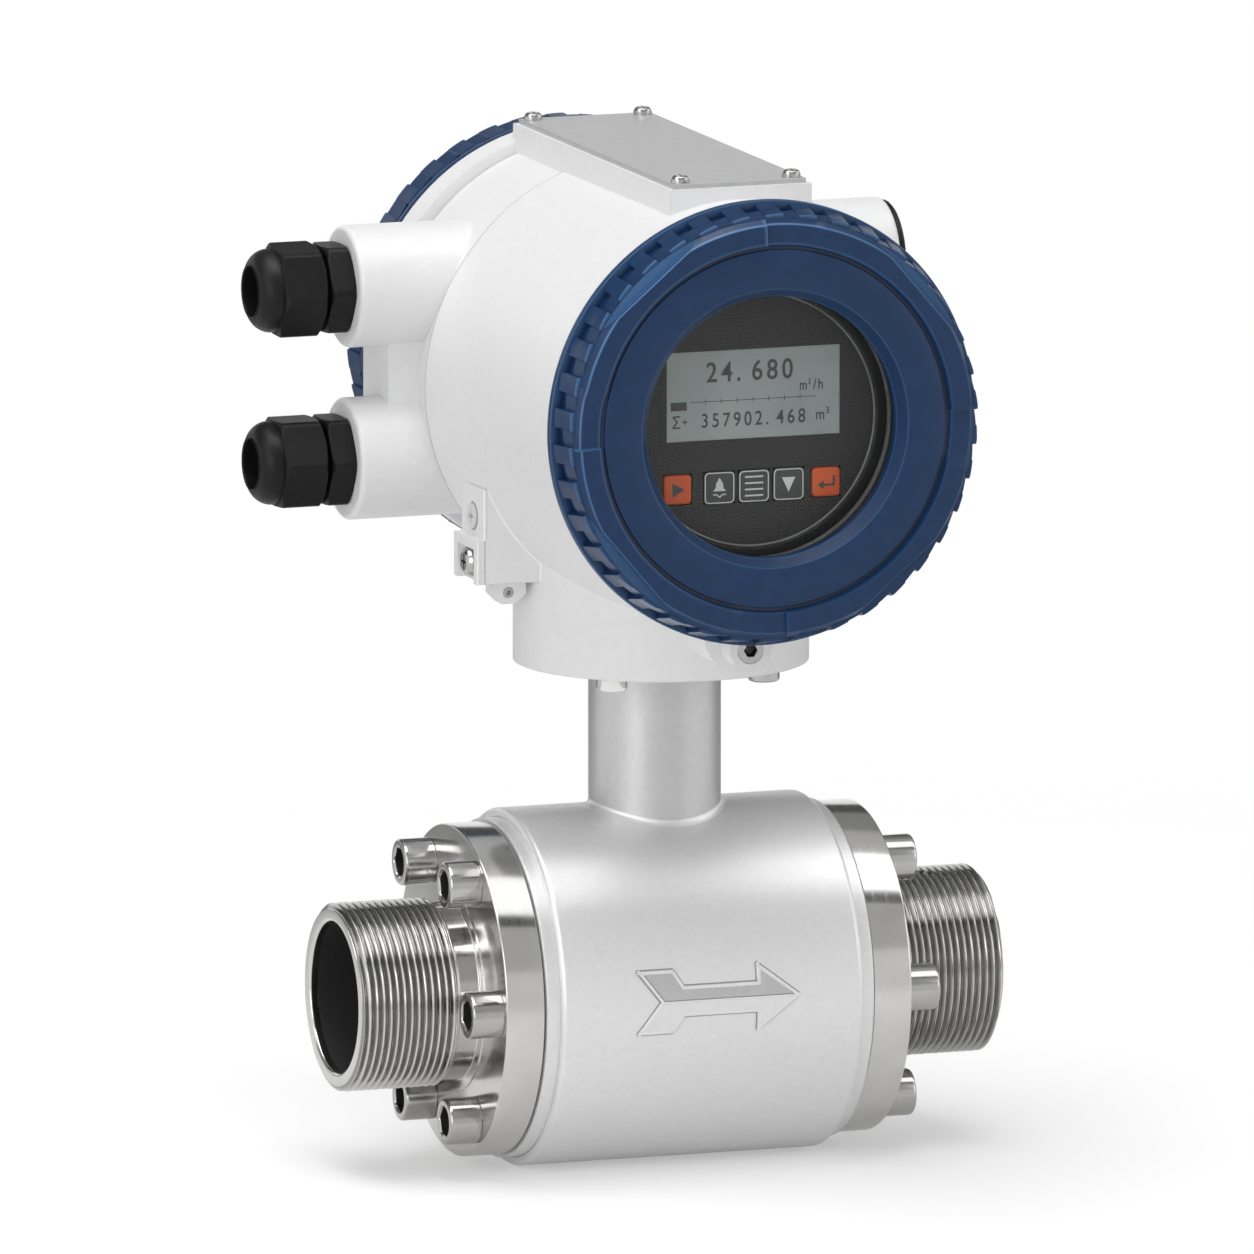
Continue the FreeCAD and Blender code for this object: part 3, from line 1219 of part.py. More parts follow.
def build():
    drum_shell()
    measuring_tube()
    bore_liner()
    electrodes()
    magnet_system()
    reach = "flange_thick + gasket_thick + screw_reach"
    flange_screw = socket_screw("flange_screw", "screw_radius", reach, "screw_head_radius", "screw_head_tall",
                                "screw_socket", "screw_socket_deep")
    for end, side in (("inlet", -1), ("outlet", 1)):
        end_ring(end + "_end_ring", side)
        flange_gasket(end + "_gasket", side)
        connector(end + "_connector", side)
        flange_fasteners(end, side, flange_screw)
    neck()
    head_housing()
    top_plate()
    side_fasteners()
    front_cover()
    rear_cover()
    cover_seal("front_cover_seal", "%s / 2 - (%s)" % (GROOVE_WIDE, COVER_BACK))
    cover_seal("rear_cover_seal", "%s - (%s) / 2" % (REAR_BACK, GROOVE_WIDE))
    display_panel()
    display_module()
    keys()
    electronics()
    terminals()
    gland("upper", "upper_boss", UPPER_NUT_SPIN)
    gland("lower", "lower_boss", LOWER_NUT_SPIN)
    blanking_plug()
    DOC.recompute()


def sound(shape):
    return not shape.isNull() and shape.isValid() and len(shape.Solids) > 0


def check():
    """Stops if any object failed or any sub-part is empty or not valid."""
    failed = [thing.Name for thing in DOC.Objects if "Invalid" in thing.State or "Error" in thing.State]
    bad = [thing.Label for thing in PIECES if not sound(thing.Shape)]
    if failed or bad:
        raise RuntimeError("failed objects %s, bad sub-parts %s" % (failed, bad))


def write():
    os.makedirs("parts", exist_ok=True)
    for thing in PIECES:
        thing.Shape.exportStep(os.path.join("parts", thing.Label + ".step"))
        print("%-22s %3d solids %10.1f mm3" % (thing.Label, len(thing.Shape.Solids), thing.Shape.Volume))


build()
check()
write()
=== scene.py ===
import json
import math

import bmesh
import bpy
import numpy as np
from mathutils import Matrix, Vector


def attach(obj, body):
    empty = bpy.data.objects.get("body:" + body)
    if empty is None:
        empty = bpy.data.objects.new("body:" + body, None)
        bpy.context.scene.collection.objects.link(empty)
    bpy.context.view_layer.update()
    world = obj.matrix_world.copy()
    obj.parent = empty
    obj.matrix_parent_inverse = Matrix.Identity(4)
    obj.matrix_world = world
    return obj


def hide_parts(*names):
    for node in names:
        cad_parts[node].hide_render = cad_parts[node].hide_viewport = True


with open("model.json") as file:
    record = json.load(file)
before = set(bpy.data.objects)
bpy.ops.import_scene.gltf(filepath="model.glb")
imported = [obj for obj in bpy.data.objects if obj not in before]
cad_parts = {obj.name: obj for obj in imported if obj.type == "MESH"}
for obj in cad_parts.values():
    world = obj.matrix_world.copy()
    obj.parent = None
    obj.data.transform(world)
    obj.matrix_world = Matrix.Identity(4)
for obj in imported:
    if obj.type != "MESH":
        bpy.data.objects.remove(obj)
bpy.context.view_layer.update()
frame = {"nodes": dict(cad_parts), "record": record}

# Sizes in millimetres, in the meter's own frame: X along the pipe, -Y the display, Z up
MM = 0.001
WELD = 0.000002
FULL = 2 * math.pi

# Points round the turned shapes and the rounded squares, and on each eased corner
PIPE_SIDES = 192
SCREW_SIDES = 48
RING_SIDES = 240
GLAND_SIDES = 144
NECK_SIDES = 160
PLUG_SIDES = 72
SQUARE_SIDES = 64
BEAD_SIDES = 12
EASE_STEPS = 5

# Pipe ends
PIPE_BACK = 54.9
PIPE_INNER = 26.4
FLANGE_RADIUS = 52.5
FLANGE_FRONT = 67.4
RELIEF_RADIUS = 28.2
RELIEF_END = 74.4
COLLAR_RADIUS = 31.8
COLLAR_TALL = 0.4
THREAD_CREST = 29.8
THREAD_DEPTH = 1.479
THREAD_PITCH = 2.309
THREAD_START = 75.9
THREAD_END = 106.0
THREAD_FALL = 2.8
PIPE_FRONT = 107.0
PIPE_LIP = 24.6
PIPE_BORE = 23.9
PIPE_STEP = 104.0

# Flange and neck screws
SCREW_CIRCLE = 43.5
NECK_SCREW_CIRCLE = 35.8
NECK_SCREW_SEAT = 104.5
TURRET_BEHIND = -6.0
LOCK_FACE = 90.0
LOCK_HEIGHT = 119.0
FLANGE_SCREWS = 6
FIRST_SPIN = 0.05
SPIN_STEP = 0.3
# Shank radius, reach, head radius, head height, half width and depth of the socket
FLANGE_SCREW = (5.0, 21.1, 7.4, 10.4, 4.4, 5.0)
NECK_SCREW = (3.0, 15.0, 5.0, 6.0, 2.5, 3.2)
# Height, half width and depth of the cover lock screw's socket
LOCK_SOCKET = (0.55, 2.0, 4.0)

# Head and covers
HEAD_HEIGHT = 192.4
SEAM_PLACE = 19.5
SEAM_RADIUS = 67.0
SEAM_HALF = 0.3
SEAM_RISE = 0.12
BELLY_RADIUS = 69.5
BELLY_DROP = 4.0
BELLY_NOSE = 63.5
HEAD_FRONT = 97.6
TURRET_RADIUS = 46.6
GUSSET_REACH = 63.2
GUSSET_FRONT = 19.5
GUSSET_LOW = 132.0
GUSSET_TOP = 162.0
BLOCK_RISE = 2.6
BLOCK_TOP = 146.0
SEAL_RADIUS = 4.0
SEAL_HEIGHT = 152.3
SEAL_BEHIND = -8.5
EDGE_BEAD = 0.42
JOINT_BEAD = 0.2
SHADE_BEAD = 0.3
FRONT_BACK = 98.0
FRONT_FACE = 114.4
REAR_BACK = 78.4
REAR_FACE = 98.4
LIP_RADIUS = 70.0
LIP_WIDE = 3.0
GRIP_NEAR = 69.3
GRIP_FLOOR = 67.9
POCKET_FLOOR = 66.7
RIM_INNER = 58.0
FACE_EDGE = 56.6
FACE_SINK = 1.4
RIM_FALL = 1.2
RIM_TURN = math.radians(3.0)
RIM_RECESS = math.radians(14.0)
RIM_RAMP = math.radians(3.5)
GUTTER_DEEP = 0.9
FLAT_TURN = math.radians(40.5)
LIGHT_TURN = math.radians(130.0)
SIDE_DROP = 2.5
# Rim edge, foot of the rim's side, far end of a grip tile and chord of the flats, for each cover
FRONT_RADII = (64.3, 65.9, 67.3, 62.5)
REAR_RADII = (68.1, 68.8, 69.6, 66.5)
GROOVE_FLOOR = 59.6
GROOVE_WIDE = 3.2
SPIGOT_RADIUS = 62.2
SPIGOT_INNER = 54.4
SPIGOT_LONG = 14.0
SPIGOT_PITCH = 2.0
SPIGOT_CUT = 0.8
GLASS_SEAT = 95.5
GLASS_RADIUS = 48.1
GLASS_FRONT = 106.5
WINDOW_RADIUS = 41.0
# Bevel round the window: depth under the face, radius beyond the window's, share of the lighter blue, which
# is partly wear and partly painted highlight
WINDOW_BEVEL = [(4.3, 0.0, 0.0), (3.8, 0.2, 0.3), (3.4, 0.48, 0.0), (0.5, 2.54, 0.0), (0.2, 2.75, 0.35),
                (0.0, 3.2, 0.0)]
REAR_ROOF = 91.0
TEETH = 38
GAP_SHARE = 0.44
# Places along one tooth, as shares of its length, with the tile's height and the pocket's depth there
TOOTH_STEPS = np.array([0.0, 0.02, 0.12, 0.28, 0.42, 0.535, 0.56, 0.6, 0.72, 0.86, 0.98])
TILE_RISE = np.array([0.0, 0.96, 1.0, 0.9, 0.8, 0.7, 0.46, 0.42, 0.3, 0.16, 0.02])
POCKET_SHARE = np.array([1.0, 0.0, 0.0, 0.0, 0.0, 0.0, 1.0, 1.0, 1.0, 1.0, 1.0])

# Glands
BOSS_FACE = 90.1
BOSS_BEHIND = 39.5
UPPER_BOSS = 219.2
LOWER_BOSS = 164.4
GLAND_FLATS = 13.5
BODY_TURN = math.radians(30)
UPPER_TURN = math.radians(22)
LOWER_TURN = math.radians(30)
HEX_ENDS = np.array([0.0, 0.25, 0.5, 0.75, 1.0, 1.3])
HEX_LAND = 0.25
HEX_CONE = 1.73
GLAND_CORNER = 15.3
GLAND_HEX = 8.0
GLAND_THREAD = 10.0
GLAND_REACH = 14.0
GLAND_STEM = 10.9
GLAND_STEM_LONG = 10.0
STEM_PITCH = 1.5
STEM_CUT = 0.55
GLAND_BORE = 7.6
NUT_FACE = 99.4
NUT_LONG = 21.4
NUT_HEX = 14.0
NUT_DOME = 13.2
NUT_ROUND = 6.4
NUT_BEND = 78.0
NUT_HOLE = 8.0
NUT_ROOM = 11.1
NUT_WALL = 5.0

# Drum, neck and display
DRUM_RADIUS = 56.45
ARROW_LEVEL = 2.8
ARROW_RISE = 0.9
ARROW_TIP = 28.5
ARROW_NOTCH = -17.7
# Upper side of the arrow from its tail to its head: across, and up from its middle line
ARROW_SIDE = np.array([(-25.5, 10.0), (-13.4, 10.0), (-10.1, 4.75), (14.3, 4.75), (14.3, 10.8)])
# Painted shade on the arrow's upper half: places across, with the rise of its lower and upper line there
SHADED_HALF_LOW = np.array([(-16.63, 0.5), (-11.5, 0.5), (-9.9, 0.5), (15.45, 0.5), (15.46, 0.5), (25.94, 0.5)])
SHADED_HALF_HIGH = np.array([(-23.14, 8.85), (-14.03, 8.85), (-10.73, 3.6), (15.45, 3.6), (15.46, 8.48),
                      (25.94, 0.5)])
MIDDLE_LINE = np.array([(-17.0, 0.0), (27.5, 0.0)])
STRIP_RISE = 0.05
SINK = 0.05
NECK_RADIUS = 20.9
NECK_FILLET = 1.5
LCD_FACE = 90.6
LCD_LOW = 186.4
KEY_FACE = 91.5
KEY_BACK = 87.7
KEY_ROW = 171.4
KEY_CORNER = 1.4
WING_CORNER = 0.3
LEAST_CORNER = 0.2
SHUT = 1.0
# Middle of each key across the panel
KEYS = {"escape": -25.2, "alarm": -11.4, "menu": 0.0, "down": 11.4, "enter": 23.9}
ORANGE_KEYS = ("escape", "enter")
ORANGE_HALF = 4.6
DARK_HALF = 5.0
WING_FRONT = 88.7
WING_TALL = 1.4
PANEL_FACE = 91.0
SURROUND_INNER = 39.2
SURROUND_OUTER = 46.0
SURROUND_TALL = 1.5
SURROUND_BEVEL = 1.3
SURROUND_FOOT = 0.2
SURROUND_BEAD = 0.32
BEAD_SHARE = 0.35
INK_LIFT = 0.04
FIGURE_DEEP = 0.02
CAPITAL_SHARE = 0.72
BOLD_SHARE = 0.016
SCALE_LEVEL = 12.2
TICK_FIRST = -15.7
TICK_STEP = 5.2
TICK_HALF = 0.85
TICKS = 7
TOTAL_LEVEL = 4.4
# Words on the display: text, left edge, rise above its lower edge, height, pitch and squeeze
DISPLAY_WORDS = {
    "flow_figures": ("24.680", -15.6, 18.3, 6.4, 5.0, 0.86),
    "flow_unit_length": ("m", 15.2, 14.3, 3.4, 1.9, 0.72),
    "flow_unit_power": ("3", 18.0, 16.0, 1.9, 1.9, 0.8),
    "flow_unit_time": ("/h", 19.8, 14.3, 3.4, 1.5, 0.78),
    "total_figures": ("357902.468", -17.2, 4.1, 4.5, 3.55, 0.82),
    "total_unit_length": ("m", 20.6, 4.7, 3.6, 2.5, 0.8),
    "total_unit_power": ("3", 23.9, 6.4, 2.2, 2.5, 0.85),
}

# Light and stage, in metres: levels of the background and of the floor's glow, and where the floor fades out
WHITE = (1.0, 1.0, 1.0, 1.0)
WORLD_LEVEL = 0.5
GLOW_REFLECTED = 0.17
GLOW_SEEN = 0.32
FADE_START = 0.3
FADE_END = 0.75
FLOOR_HALF = 4.0
CARD_HALF = 6.0
# Long cards: lower and upper edge in degrees from the front over the top, distance and shade
LONG_CARDS = {
    "front_card": (-20.0, 20.0, 9.0, 0.78),
    "upper_front_card": (20.0, 51.0, 8.0, 0.5),
    "dark_strip": (52.0, 61.0, 4.0, 0.06),
    "bright_strip": (63.0, 92.0, 4.0, 2.5),
    "top_card": (92.0, 116.0, 4.0, 0.55),
    "rear_card": (116.0, 142.0, 4.0, 0.28),
    "rear_strip": (142.0, 160.0, 4.0, 0.08),
}
# Upright cards: both sides in degrees from the front towards the outlet, both edges, distance and shade
UPRIGHT_CARDS = {
    "rear_left_card": (-195.0, -140.0, -1.6, 0.3, 4.0, 0.3),
    "rear_right_card": (100.0, 155.0, -1.6, 0.3, 4.0, 0.25),
}
# Level cards: left, right, front and back edge, height and shade
LEVEL_CARDS = {
    "under_head_card": (-0.058, -0.010, -0.078, -0.030, 0.095, 1.6),
    "under_head_dark": (-0.058, -0.010, -0.098, -0.080, 0.095, 0.06),
}
# Lamps: place, the point it looks at, width, height and power
LAMP_AIM = (0.0, 0.0, 0.12)
LAMPS = {
    "top_lamp": ((-0.25, -0.15, 1.7), LAMP_AIM, 1.6, 0.9, 14.5),
    "left_lamp": ((-1.7, -1.3, 0.55), LAMP_AIM, 1.0, 1.2, 8.6),
    "right_lamp": ((1.6, -1.4, 0.7), LAMP_AIM, 0.8, 1.2, 3.0),
    "edge_lamp": ((-1.1, -0.5, 1.5), (0.0, -0.1, 0.2), 0.12, 1.4, 1.1),
}

# Camera: the point it looks at in millimetres, its direction and distance, and the picture's scale
CAMERA_AIM = (-9.18, 0.0, 112.47)
CAMERA_TURN = math.radians(-19.37)
CAMERA_RISE = math.radians(9.69)
CAMERA_BACK = 8.0
PICTURE_SIDE = 1254.0
PIXELS_A_METRE = 3180.0
SENSOR = 36.0


# Grids of points and the meshes made of them


def quad_net(rows, columns, wrap_rows, wrap_columns):
    """Corner numbers of a grid's quads: point (i, j) with its three next neighbours, where a wrapped
    direction joins the last line of points to the first."""
    i = np.arange(rows if wrap_rows else rows - 1)[:, None]
    j = np.arange(columns if wrap_columns else columns - 1)[None, :]
    down = (i + 1) % rows
    right = (j + 1) % columns
    corners = [i * columns + j, down * columns + j, down * columns + right, i * columns + right]
    return np.stack(np.broadcast_arrays(*corners), axis=-1).reshape(-1, 4)


def place_mesh(name, mesh, body, finish, stands_for):
    """An object at the origin for a finished mesh, on its body and finish."""
    mesh.materials.append(finish)
    made = bpy.data.objects.new(name, mesh)
    bpy.context.scene.collection.objects.link(made)
    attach(made, body)
    if stands_for:
        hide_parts(*stands_for)


def piece(name, surfaces, body, slot, finish=None, stands_for=(), crease=32.0, tone=None):
    """One piece from grids of points in millimetres, each (points, wrap rows, wrap columns). A grid may
    hold several copies. Equal points at seams and poles merge, faces turn outwards, and edges sharper
    than the crease stay sharp. A tone gives each point a share of its finish's second tone. Without a
    finish of its own the piece has its slot's."""
    points = []
    faces = []
    start = 0
    for grid, wrap_rows, wrap_columns in surfaces:
        copies = np.asarray(grid, float).reshape((-1,) + np.shape(grid)[-3:])
        each = copies.shape[1] * copies.shape[2]
        net = quad_net(copies.shape[1], copies.shape[2], wrap_rows, wrap_columns)
        first = start + each * np.arange(len(copies))
        faces.append((net[None] + first[:, None, None]).reshape(-1, 4))
        points.append(copies.reshape(-1, 3))
        start += len(copies) * each
    mesh = bpy.data.meshes.new(name)
    mesh.from_pydata(np.concatenate(points) * MM, [], np.concatenate(faces))
    if tone is not None:
        shares = mesh.attributes.new("tone", "FLOAT", "POINT")
        shares.data.foreach_set("value", np.ravel(tone).astype(np.float32))
    shell = bmesh.new()
    shell.from_mesh(mesh)
    bmesh.ops.remove_doubles(shell, verts=shell.verts, dist=WELD)
    bmesh.ops.recalc_face_normals(shell, faces=shell.faces)
    shell.to_mesh(mesh)
    shell.free()
    mesh.polygons.foreach_set("use_smooth", np.ones(len(mesh.polygons), bool))
    mesh.set_sharp_from_angle(angle=math.radians(crease))
    place_mesh(name, mesh, body, finish or FINISHES[slot], stands_for)


def turns(count):
    """Evenly spaced angles of one full turn, the last one short of the first."""
    return np.arange(count) * (FULL / count)


def eased(corners):
    """Points along a closed profile of (along, radius, ease) corners: each corner becomes a quadratic arc
    that starts and ends its ease length away from the corner, at most 0.45 of the shorter side."""
    spot = np.array(corners, float)[:, :2]
    ease = np.array(corners, float)[:, 2:]
    before = np.roll(spot, 1, axis=0) - spot
    after = np.roll(spot, -1, axis=0) - spot
    long_before = np.linalg.norm(before, axis=1, keepdims=True)
    long_after = np.linalg.norm(after, axis=1, keepdims=True)
    reach = np.minimum(ease, 0.45 * np.minimum(long_before, long_after))
    leave = spot + before / long_before * reach
    join = spot + after / long_after * reach
    t = np.linspace(0, 1, EASE_STEPS)[None, :, None]
    arc = (1 - t) ** 2 * leave[:, None] + 2 * t * (1 - t) * spot[:, None] + t ** 2 * join[:, None]
    return arc.reshape(-1, 2)


def along_x(along, radius, angle, behind=0.0, height=0.0):
    """Points round a line along X: the angle counts from the top towards the back."""
    along, radius, angle = np.broadcast_arrays(along, radius, angle)
    return np.stack([along, behind + radius * np.sin(angle), height + radius * np.cos(angle)], axis=-1)


def along_y(along, radius, angle):
    """Points round the head's line along Y: the angle counts from +X towards the top."""
    along, radius, angle = np.broadcast_arrays(along, radius, angle)
    return np.stack([radius * np.cos(angle), along, HEAD_HEIGHT + radius * np.sin(angle)], axis=-1)


def vee(phase):
    """Depth share of a thread at a phase in turns: a triangle wave, its crests and roots rounded by a
    cosine of the same length."""
    part = np.mod(phase, 1.0)
    return 0.6 * np.abs(2 * part - 1) + 0.4 * (0.5 + 0.5 * np.cos(FULL * part))


def hexagon(angle, flats, turn):
    """Radius of a hexagon with that half width, one corner at the turn angle."""
    wedge = np.mod(angle - turn, math.radians(60)) - math.radians(30)
    return flats / np.cos(wedge)


def joined(angle, *parts):
    """Parts of a turned shape one after the other: the places along it, and the radius there at each angle.
    A part is rows of (place, radius), or a pair of places and of radii that change with the angle."""
    pairs = [part if isinstance(part, tuple) else np.array(part, float).T for part in parts]
    along = np.concatenate([places for places, radii in pairs])[None, :]
    radius = [np.broadcast_to(radii, (len(angle), len(places))) for places, radii in pairs]
    return along, np.concatenate(radius, axis=1)


def head_ring(section, side):
    """A closed section of (distance ahead or behind, radius) carried round the head's axis."""
    section = np.array(section, float)
    grid = along_y(side * section[None, :, 0], section[None, :, 1], turns(RING_SIDES)[:, None])
    return [(grid, True, True)]


def capped(grid):
    """A grid with its first and last row closed on their middle."""
    ends = [np.broadcast_to(grid[[k]].mean(axis=1, keepdims=True), (1,) + grid.shape[1:]) for k in (0, -1)]
    return np.concatenate([ends[0], grid, ends[1]], axis=0)


# Finishes


def new_finish(name):
    """A material with its node tree and its shader."""
    made = bpy.data.materials.new(name)
    made.use_nodes = True
    return made, made.node_tree, made.node_tree.nodes["Principled BSDF"]


def grey(level):
    """A neutral colour."""
    return (level, level, level)


def step(tree, kind, inputs, **settings):
    """One node: settings are its own switches, and each input gets a plain value or another outlet."""
    node = tree.nodes.new("ShaderNode" + kind)
    for key, value in settings.items():
        setattr(node, key, value)
    for key, value in inputs.items():
        if isinstance(value, bpy.types.NodeSocket):
            tree.links.new(value, node.inputs[key])
        else:
            node.inputs[key].default_value = value
    return node


def maths(tree, operation, first, second):
    """Two values put together by one operation."""
    return step(tree, "Math", {0: first, 1: second}, operation=operation).outputs[0]


def coordinates(tree):
    """The piece's own place in metres."""
    return step(tree, "TexCoord", {}).outputs["Object"]


def turned_coordinates(tree):
    """Place along the pipe and distance from its axis, so that a pattern runs in rings."""
    parts = step(tree, "SeparateXYZ", {0: coordinates(tree)})
    across = step(tree, "CombineXYZ", {"Y": parts.outputs["Y"], "Z": parts.outputs["Z"]})
    distance = step(tree, "VectorMath", {0: across.outputs[0]}, operation="LENGTH")
    return step(tree, "CombineXYZ", {"X": parts.outputs["X"], "Y": distance.outputs["Value"]}).outputs[0]


def stretched(tree, scale):
    """The piece's place, stretched along each axis."""
    return step(tree, "Mapping", {"Vector": coordinates(tree), "Scale": scale}).outputs[0]


def speckle(tree, place, scale, detail=2.0):
    """Noise of so many cells a metre."""
    inputs = {"Vector": place, "Scale": scale, "Detail": detail, "Roughness": 0.55}
    return step(tree, "TexNoise", inputs).outputs["Fac"]


def spread(tree, value, low, high):
    """Noise's middle range drawn out from low to high."""
    inputs = {"Value": value, "From Min": 0.3, "From Max": 0.7, "To Min": low, "To Max": high}
    return step(tree, "MapRange", inputs).outputs[0]


def blended(tree, share, first, second):
    """Two colours mixed by a share."""
    first, second = [tone if isinstance(tone, bpy.types.NodeSocket) else (*tone, 1.0)
                     for tone in (first, second)]
    return step(tree, "Mix", {0: share, 6: first, 7: second}, data_type="RGBA").outputs[2]


def toned(tree, colour, second):
    """A colour that turns into a second one where a piece's points carry a tone."""
    if second is None:
        return colour
    return blended(tree, step(tree, "Attribute", {}, attribute_name="tone").outputs["Fac"], colour, second)


def raised(tree, shader, height, depth, edge=0.0):
    """Surface relief of that depth in metres, over edges rounded by the edge radius."""
    inputs = {"Height": height, "Distance": depth, "Strength": 1.0}
    if edge:
        inputs["Normal"] = step(tree, "Bevel", {"Radius": edge}, samples=6).outputs[0]
    bump = step(tree, "Bump", inputs)
    tree.links.new(bump.outputs[0], shader.inputs["Normal"])


def coating(name, dark, light, rough, grain, depth, edge=0.0, metal=0.0, patch=40.0, shine=0.5, second=None):
    """A paint, plastic or cast skin: two near tones in soft patches and fine specks, a roughness that
    changes with the specks, a fine grain of so many cells a metre, and a second tone."""
    made, tree, shader = new_finish(name)
    place = coordinates(tree)
    patches = spread(tree, speckle(tree, place, patch, 3.0), 0.0, 1.0)
    specks = speckle(tree, place, grain, 3.0)
    share = maths(tree, "MULTIPLY", patches, specks)
    tone = toned(tree, blended(tree, share, dark, light), second)
    tree.links.new(tone, shader.inputs["Base Color"])
    tree.links.new(spread(tree, specks, rough[0], rough[1]), shader.inputs["Roughness"])
    shader.inputs["Metallic"].default_value = metal
    shader.inputs["Specular IOR Level"].default_value = shine
    raised(tree, shader, specks, depth, edge)
    return made


def machined(name, dark, light, rough, scale, depth, edge=0.0, place_of=coordinates, second=None):
    """Bare metal with tool marks: noise drawn out into lines sets its tone, roughness and relief."""
    made, tree, shader = new_finish(name)
    place = place_of(tree)
    marks = speckle(tree, place, scale, 4.0)
    stains = spread(tree, speckle(tree, coordinates(tree), 60.0, 3.0), 0.0, 1.0)
    tone = toned(tree, blended(tree, stains, dark, light), second)
    tree.links.new(tone, shader.inputs["Base Color"])
    tree.links.new(spread(tree, marks, rough[0], rough[1]), shader.inputs["Roughness"])
    shader.inputs["Metallic"].default_value = 1.0
    raised(tree, shader, marks, depth, edge)
    return made


def lined_panel(name):
    """Dark display panel: fine level lines just over a millimetre apart, in a matt charcoal."""
    made, tree, shader = new_finish(name)
    waves = {"Vector": coordinates(tree), "Scale": 245.0}
    lines = step(tree, "TexWave", waves, bands_direction="Z").outputs["Fac"]
    tone = blended(tree, lines, (0.008, 0.0077, 0.0073), (0.017, 0.0162, 0.0153))
    tree.links.new(tone, shader.inputs["Base Color"])
    tree.links.new(spread(tree, lines, 0.45, 0.6), shader.inputs["Roughness"])
    shader.inputs["Specular IOR Level"].default_value = 0.3
    return made


def clear_pane(name):
    """Clear glass that lets lamp light through: shadow rays pass straight, all others see glass."""
    made, tree, shader = new_finish(name)
    tint = (0.97, 0.985, 0.98, 1.0)
    shader.inputs["Base Color"].default_value = tint
    shader.inputs["Transmission Weight"].default_value = 1.0
    shader.inputs["Roughness"].default_value = 0.0
    shader.inputs["IOR"].default_value = 1.2
    shadow = step(tree, "LightPath", {}).outputs["Is Shadow Ray"]
    clear = step(tree, "BsdfTransparent", {"Color": tint})
    mixed = step(tree, "MixShader", {0: shadow, 1: shader.outputs[0], 2: clear.outputs[0]})
    tree.links.new(mixed.outputs[0], tree.nodes["Material Output"].inputs["Surface"])
    return made


def display_film(name):
    """Reflective display: grey green with a faint cloud and a fine dot grid."""
    made, tree, shader = new_finish(name)
    place = coordinates(tree)
    cloud = spread(tree, speckle(tree, place, 45.0, 2.0), 0.0, 1.0)
    tone = blended(tree, cloud, (0.192, 0.210, 0.207), (0.234, 0.256, 0.252))
    tree.links.new(tone, shader.inputs["Base Color"])
    dots = step(tree, "TexWave", {"Vector": place, "Scale": 900.0}, bands_direction="X").outputs["Fac"]
    tree.links.new(spread(tree, dots, 0.28, 0.36), shader.inputs["Roughness"])
    return made


def board_laminate(name):
    """Circuit board: green mask over a grid of copper tracks, with small pads."""
    made, tree, shader = new_finish(name)
    place = coordinates(tree)
    tracks = step(tree, "TexBrick", {"Vector": stretched(tree, (300.0, 300.0, 300.0)), "Scale": 1.0,
                                     "Mortar Size": 0.08, "Color1": (*grey(0.0), 1.0),
                                     "Color2": (*grey(0.0), 1.0), "Mortar": WHITE})
    green = blended(tree, speckle(tree, place, 300.0), (0.008, 0.075, 0.035), (0.012, 0.11, 0.05))
    tone = blended(tree, tracks.outputs["Fac"], green, (0.03, 0.17, 0.08))
    tree.links.new(tone, shader.inputs["Base Color"])
    tree.links.new(spread(tree, speckle(tree, place, 900.0), 0.25, 0.4), shader.inputs["Roughness"])
    raised(tree, shader, tracks.outputs["Fac"], 0.00003)
    return made


def wound_wire(name):
    """Coil of enamelled wire: thin rings one above the other, copper with darker gaps."""
    made, tree, shader = new_finish(name)
    place = coordinates(tree)
    rows = step(tree, "TexWave", {"Vector": place, "Scale": 300.0, "Distortion": 0.4}, bands_direction="Z")
    tone = blended(tree, rows.outputs["Fac"], (0.18, 0.05, 0.02), (0.62, 0.25, 0.11))
    tree.links.new(tone, shader.inputs["Base Color"])
    tree.links.new(spread(tree, speckle(tree, place, 700.0), 0.25, 0.4), shader.inputs["Roughness"])
    shader.inputs["Metallic"].default_value = 0.9
    raised(tree, shader, rows.outputs["Fac"], 0.0002)
    return made


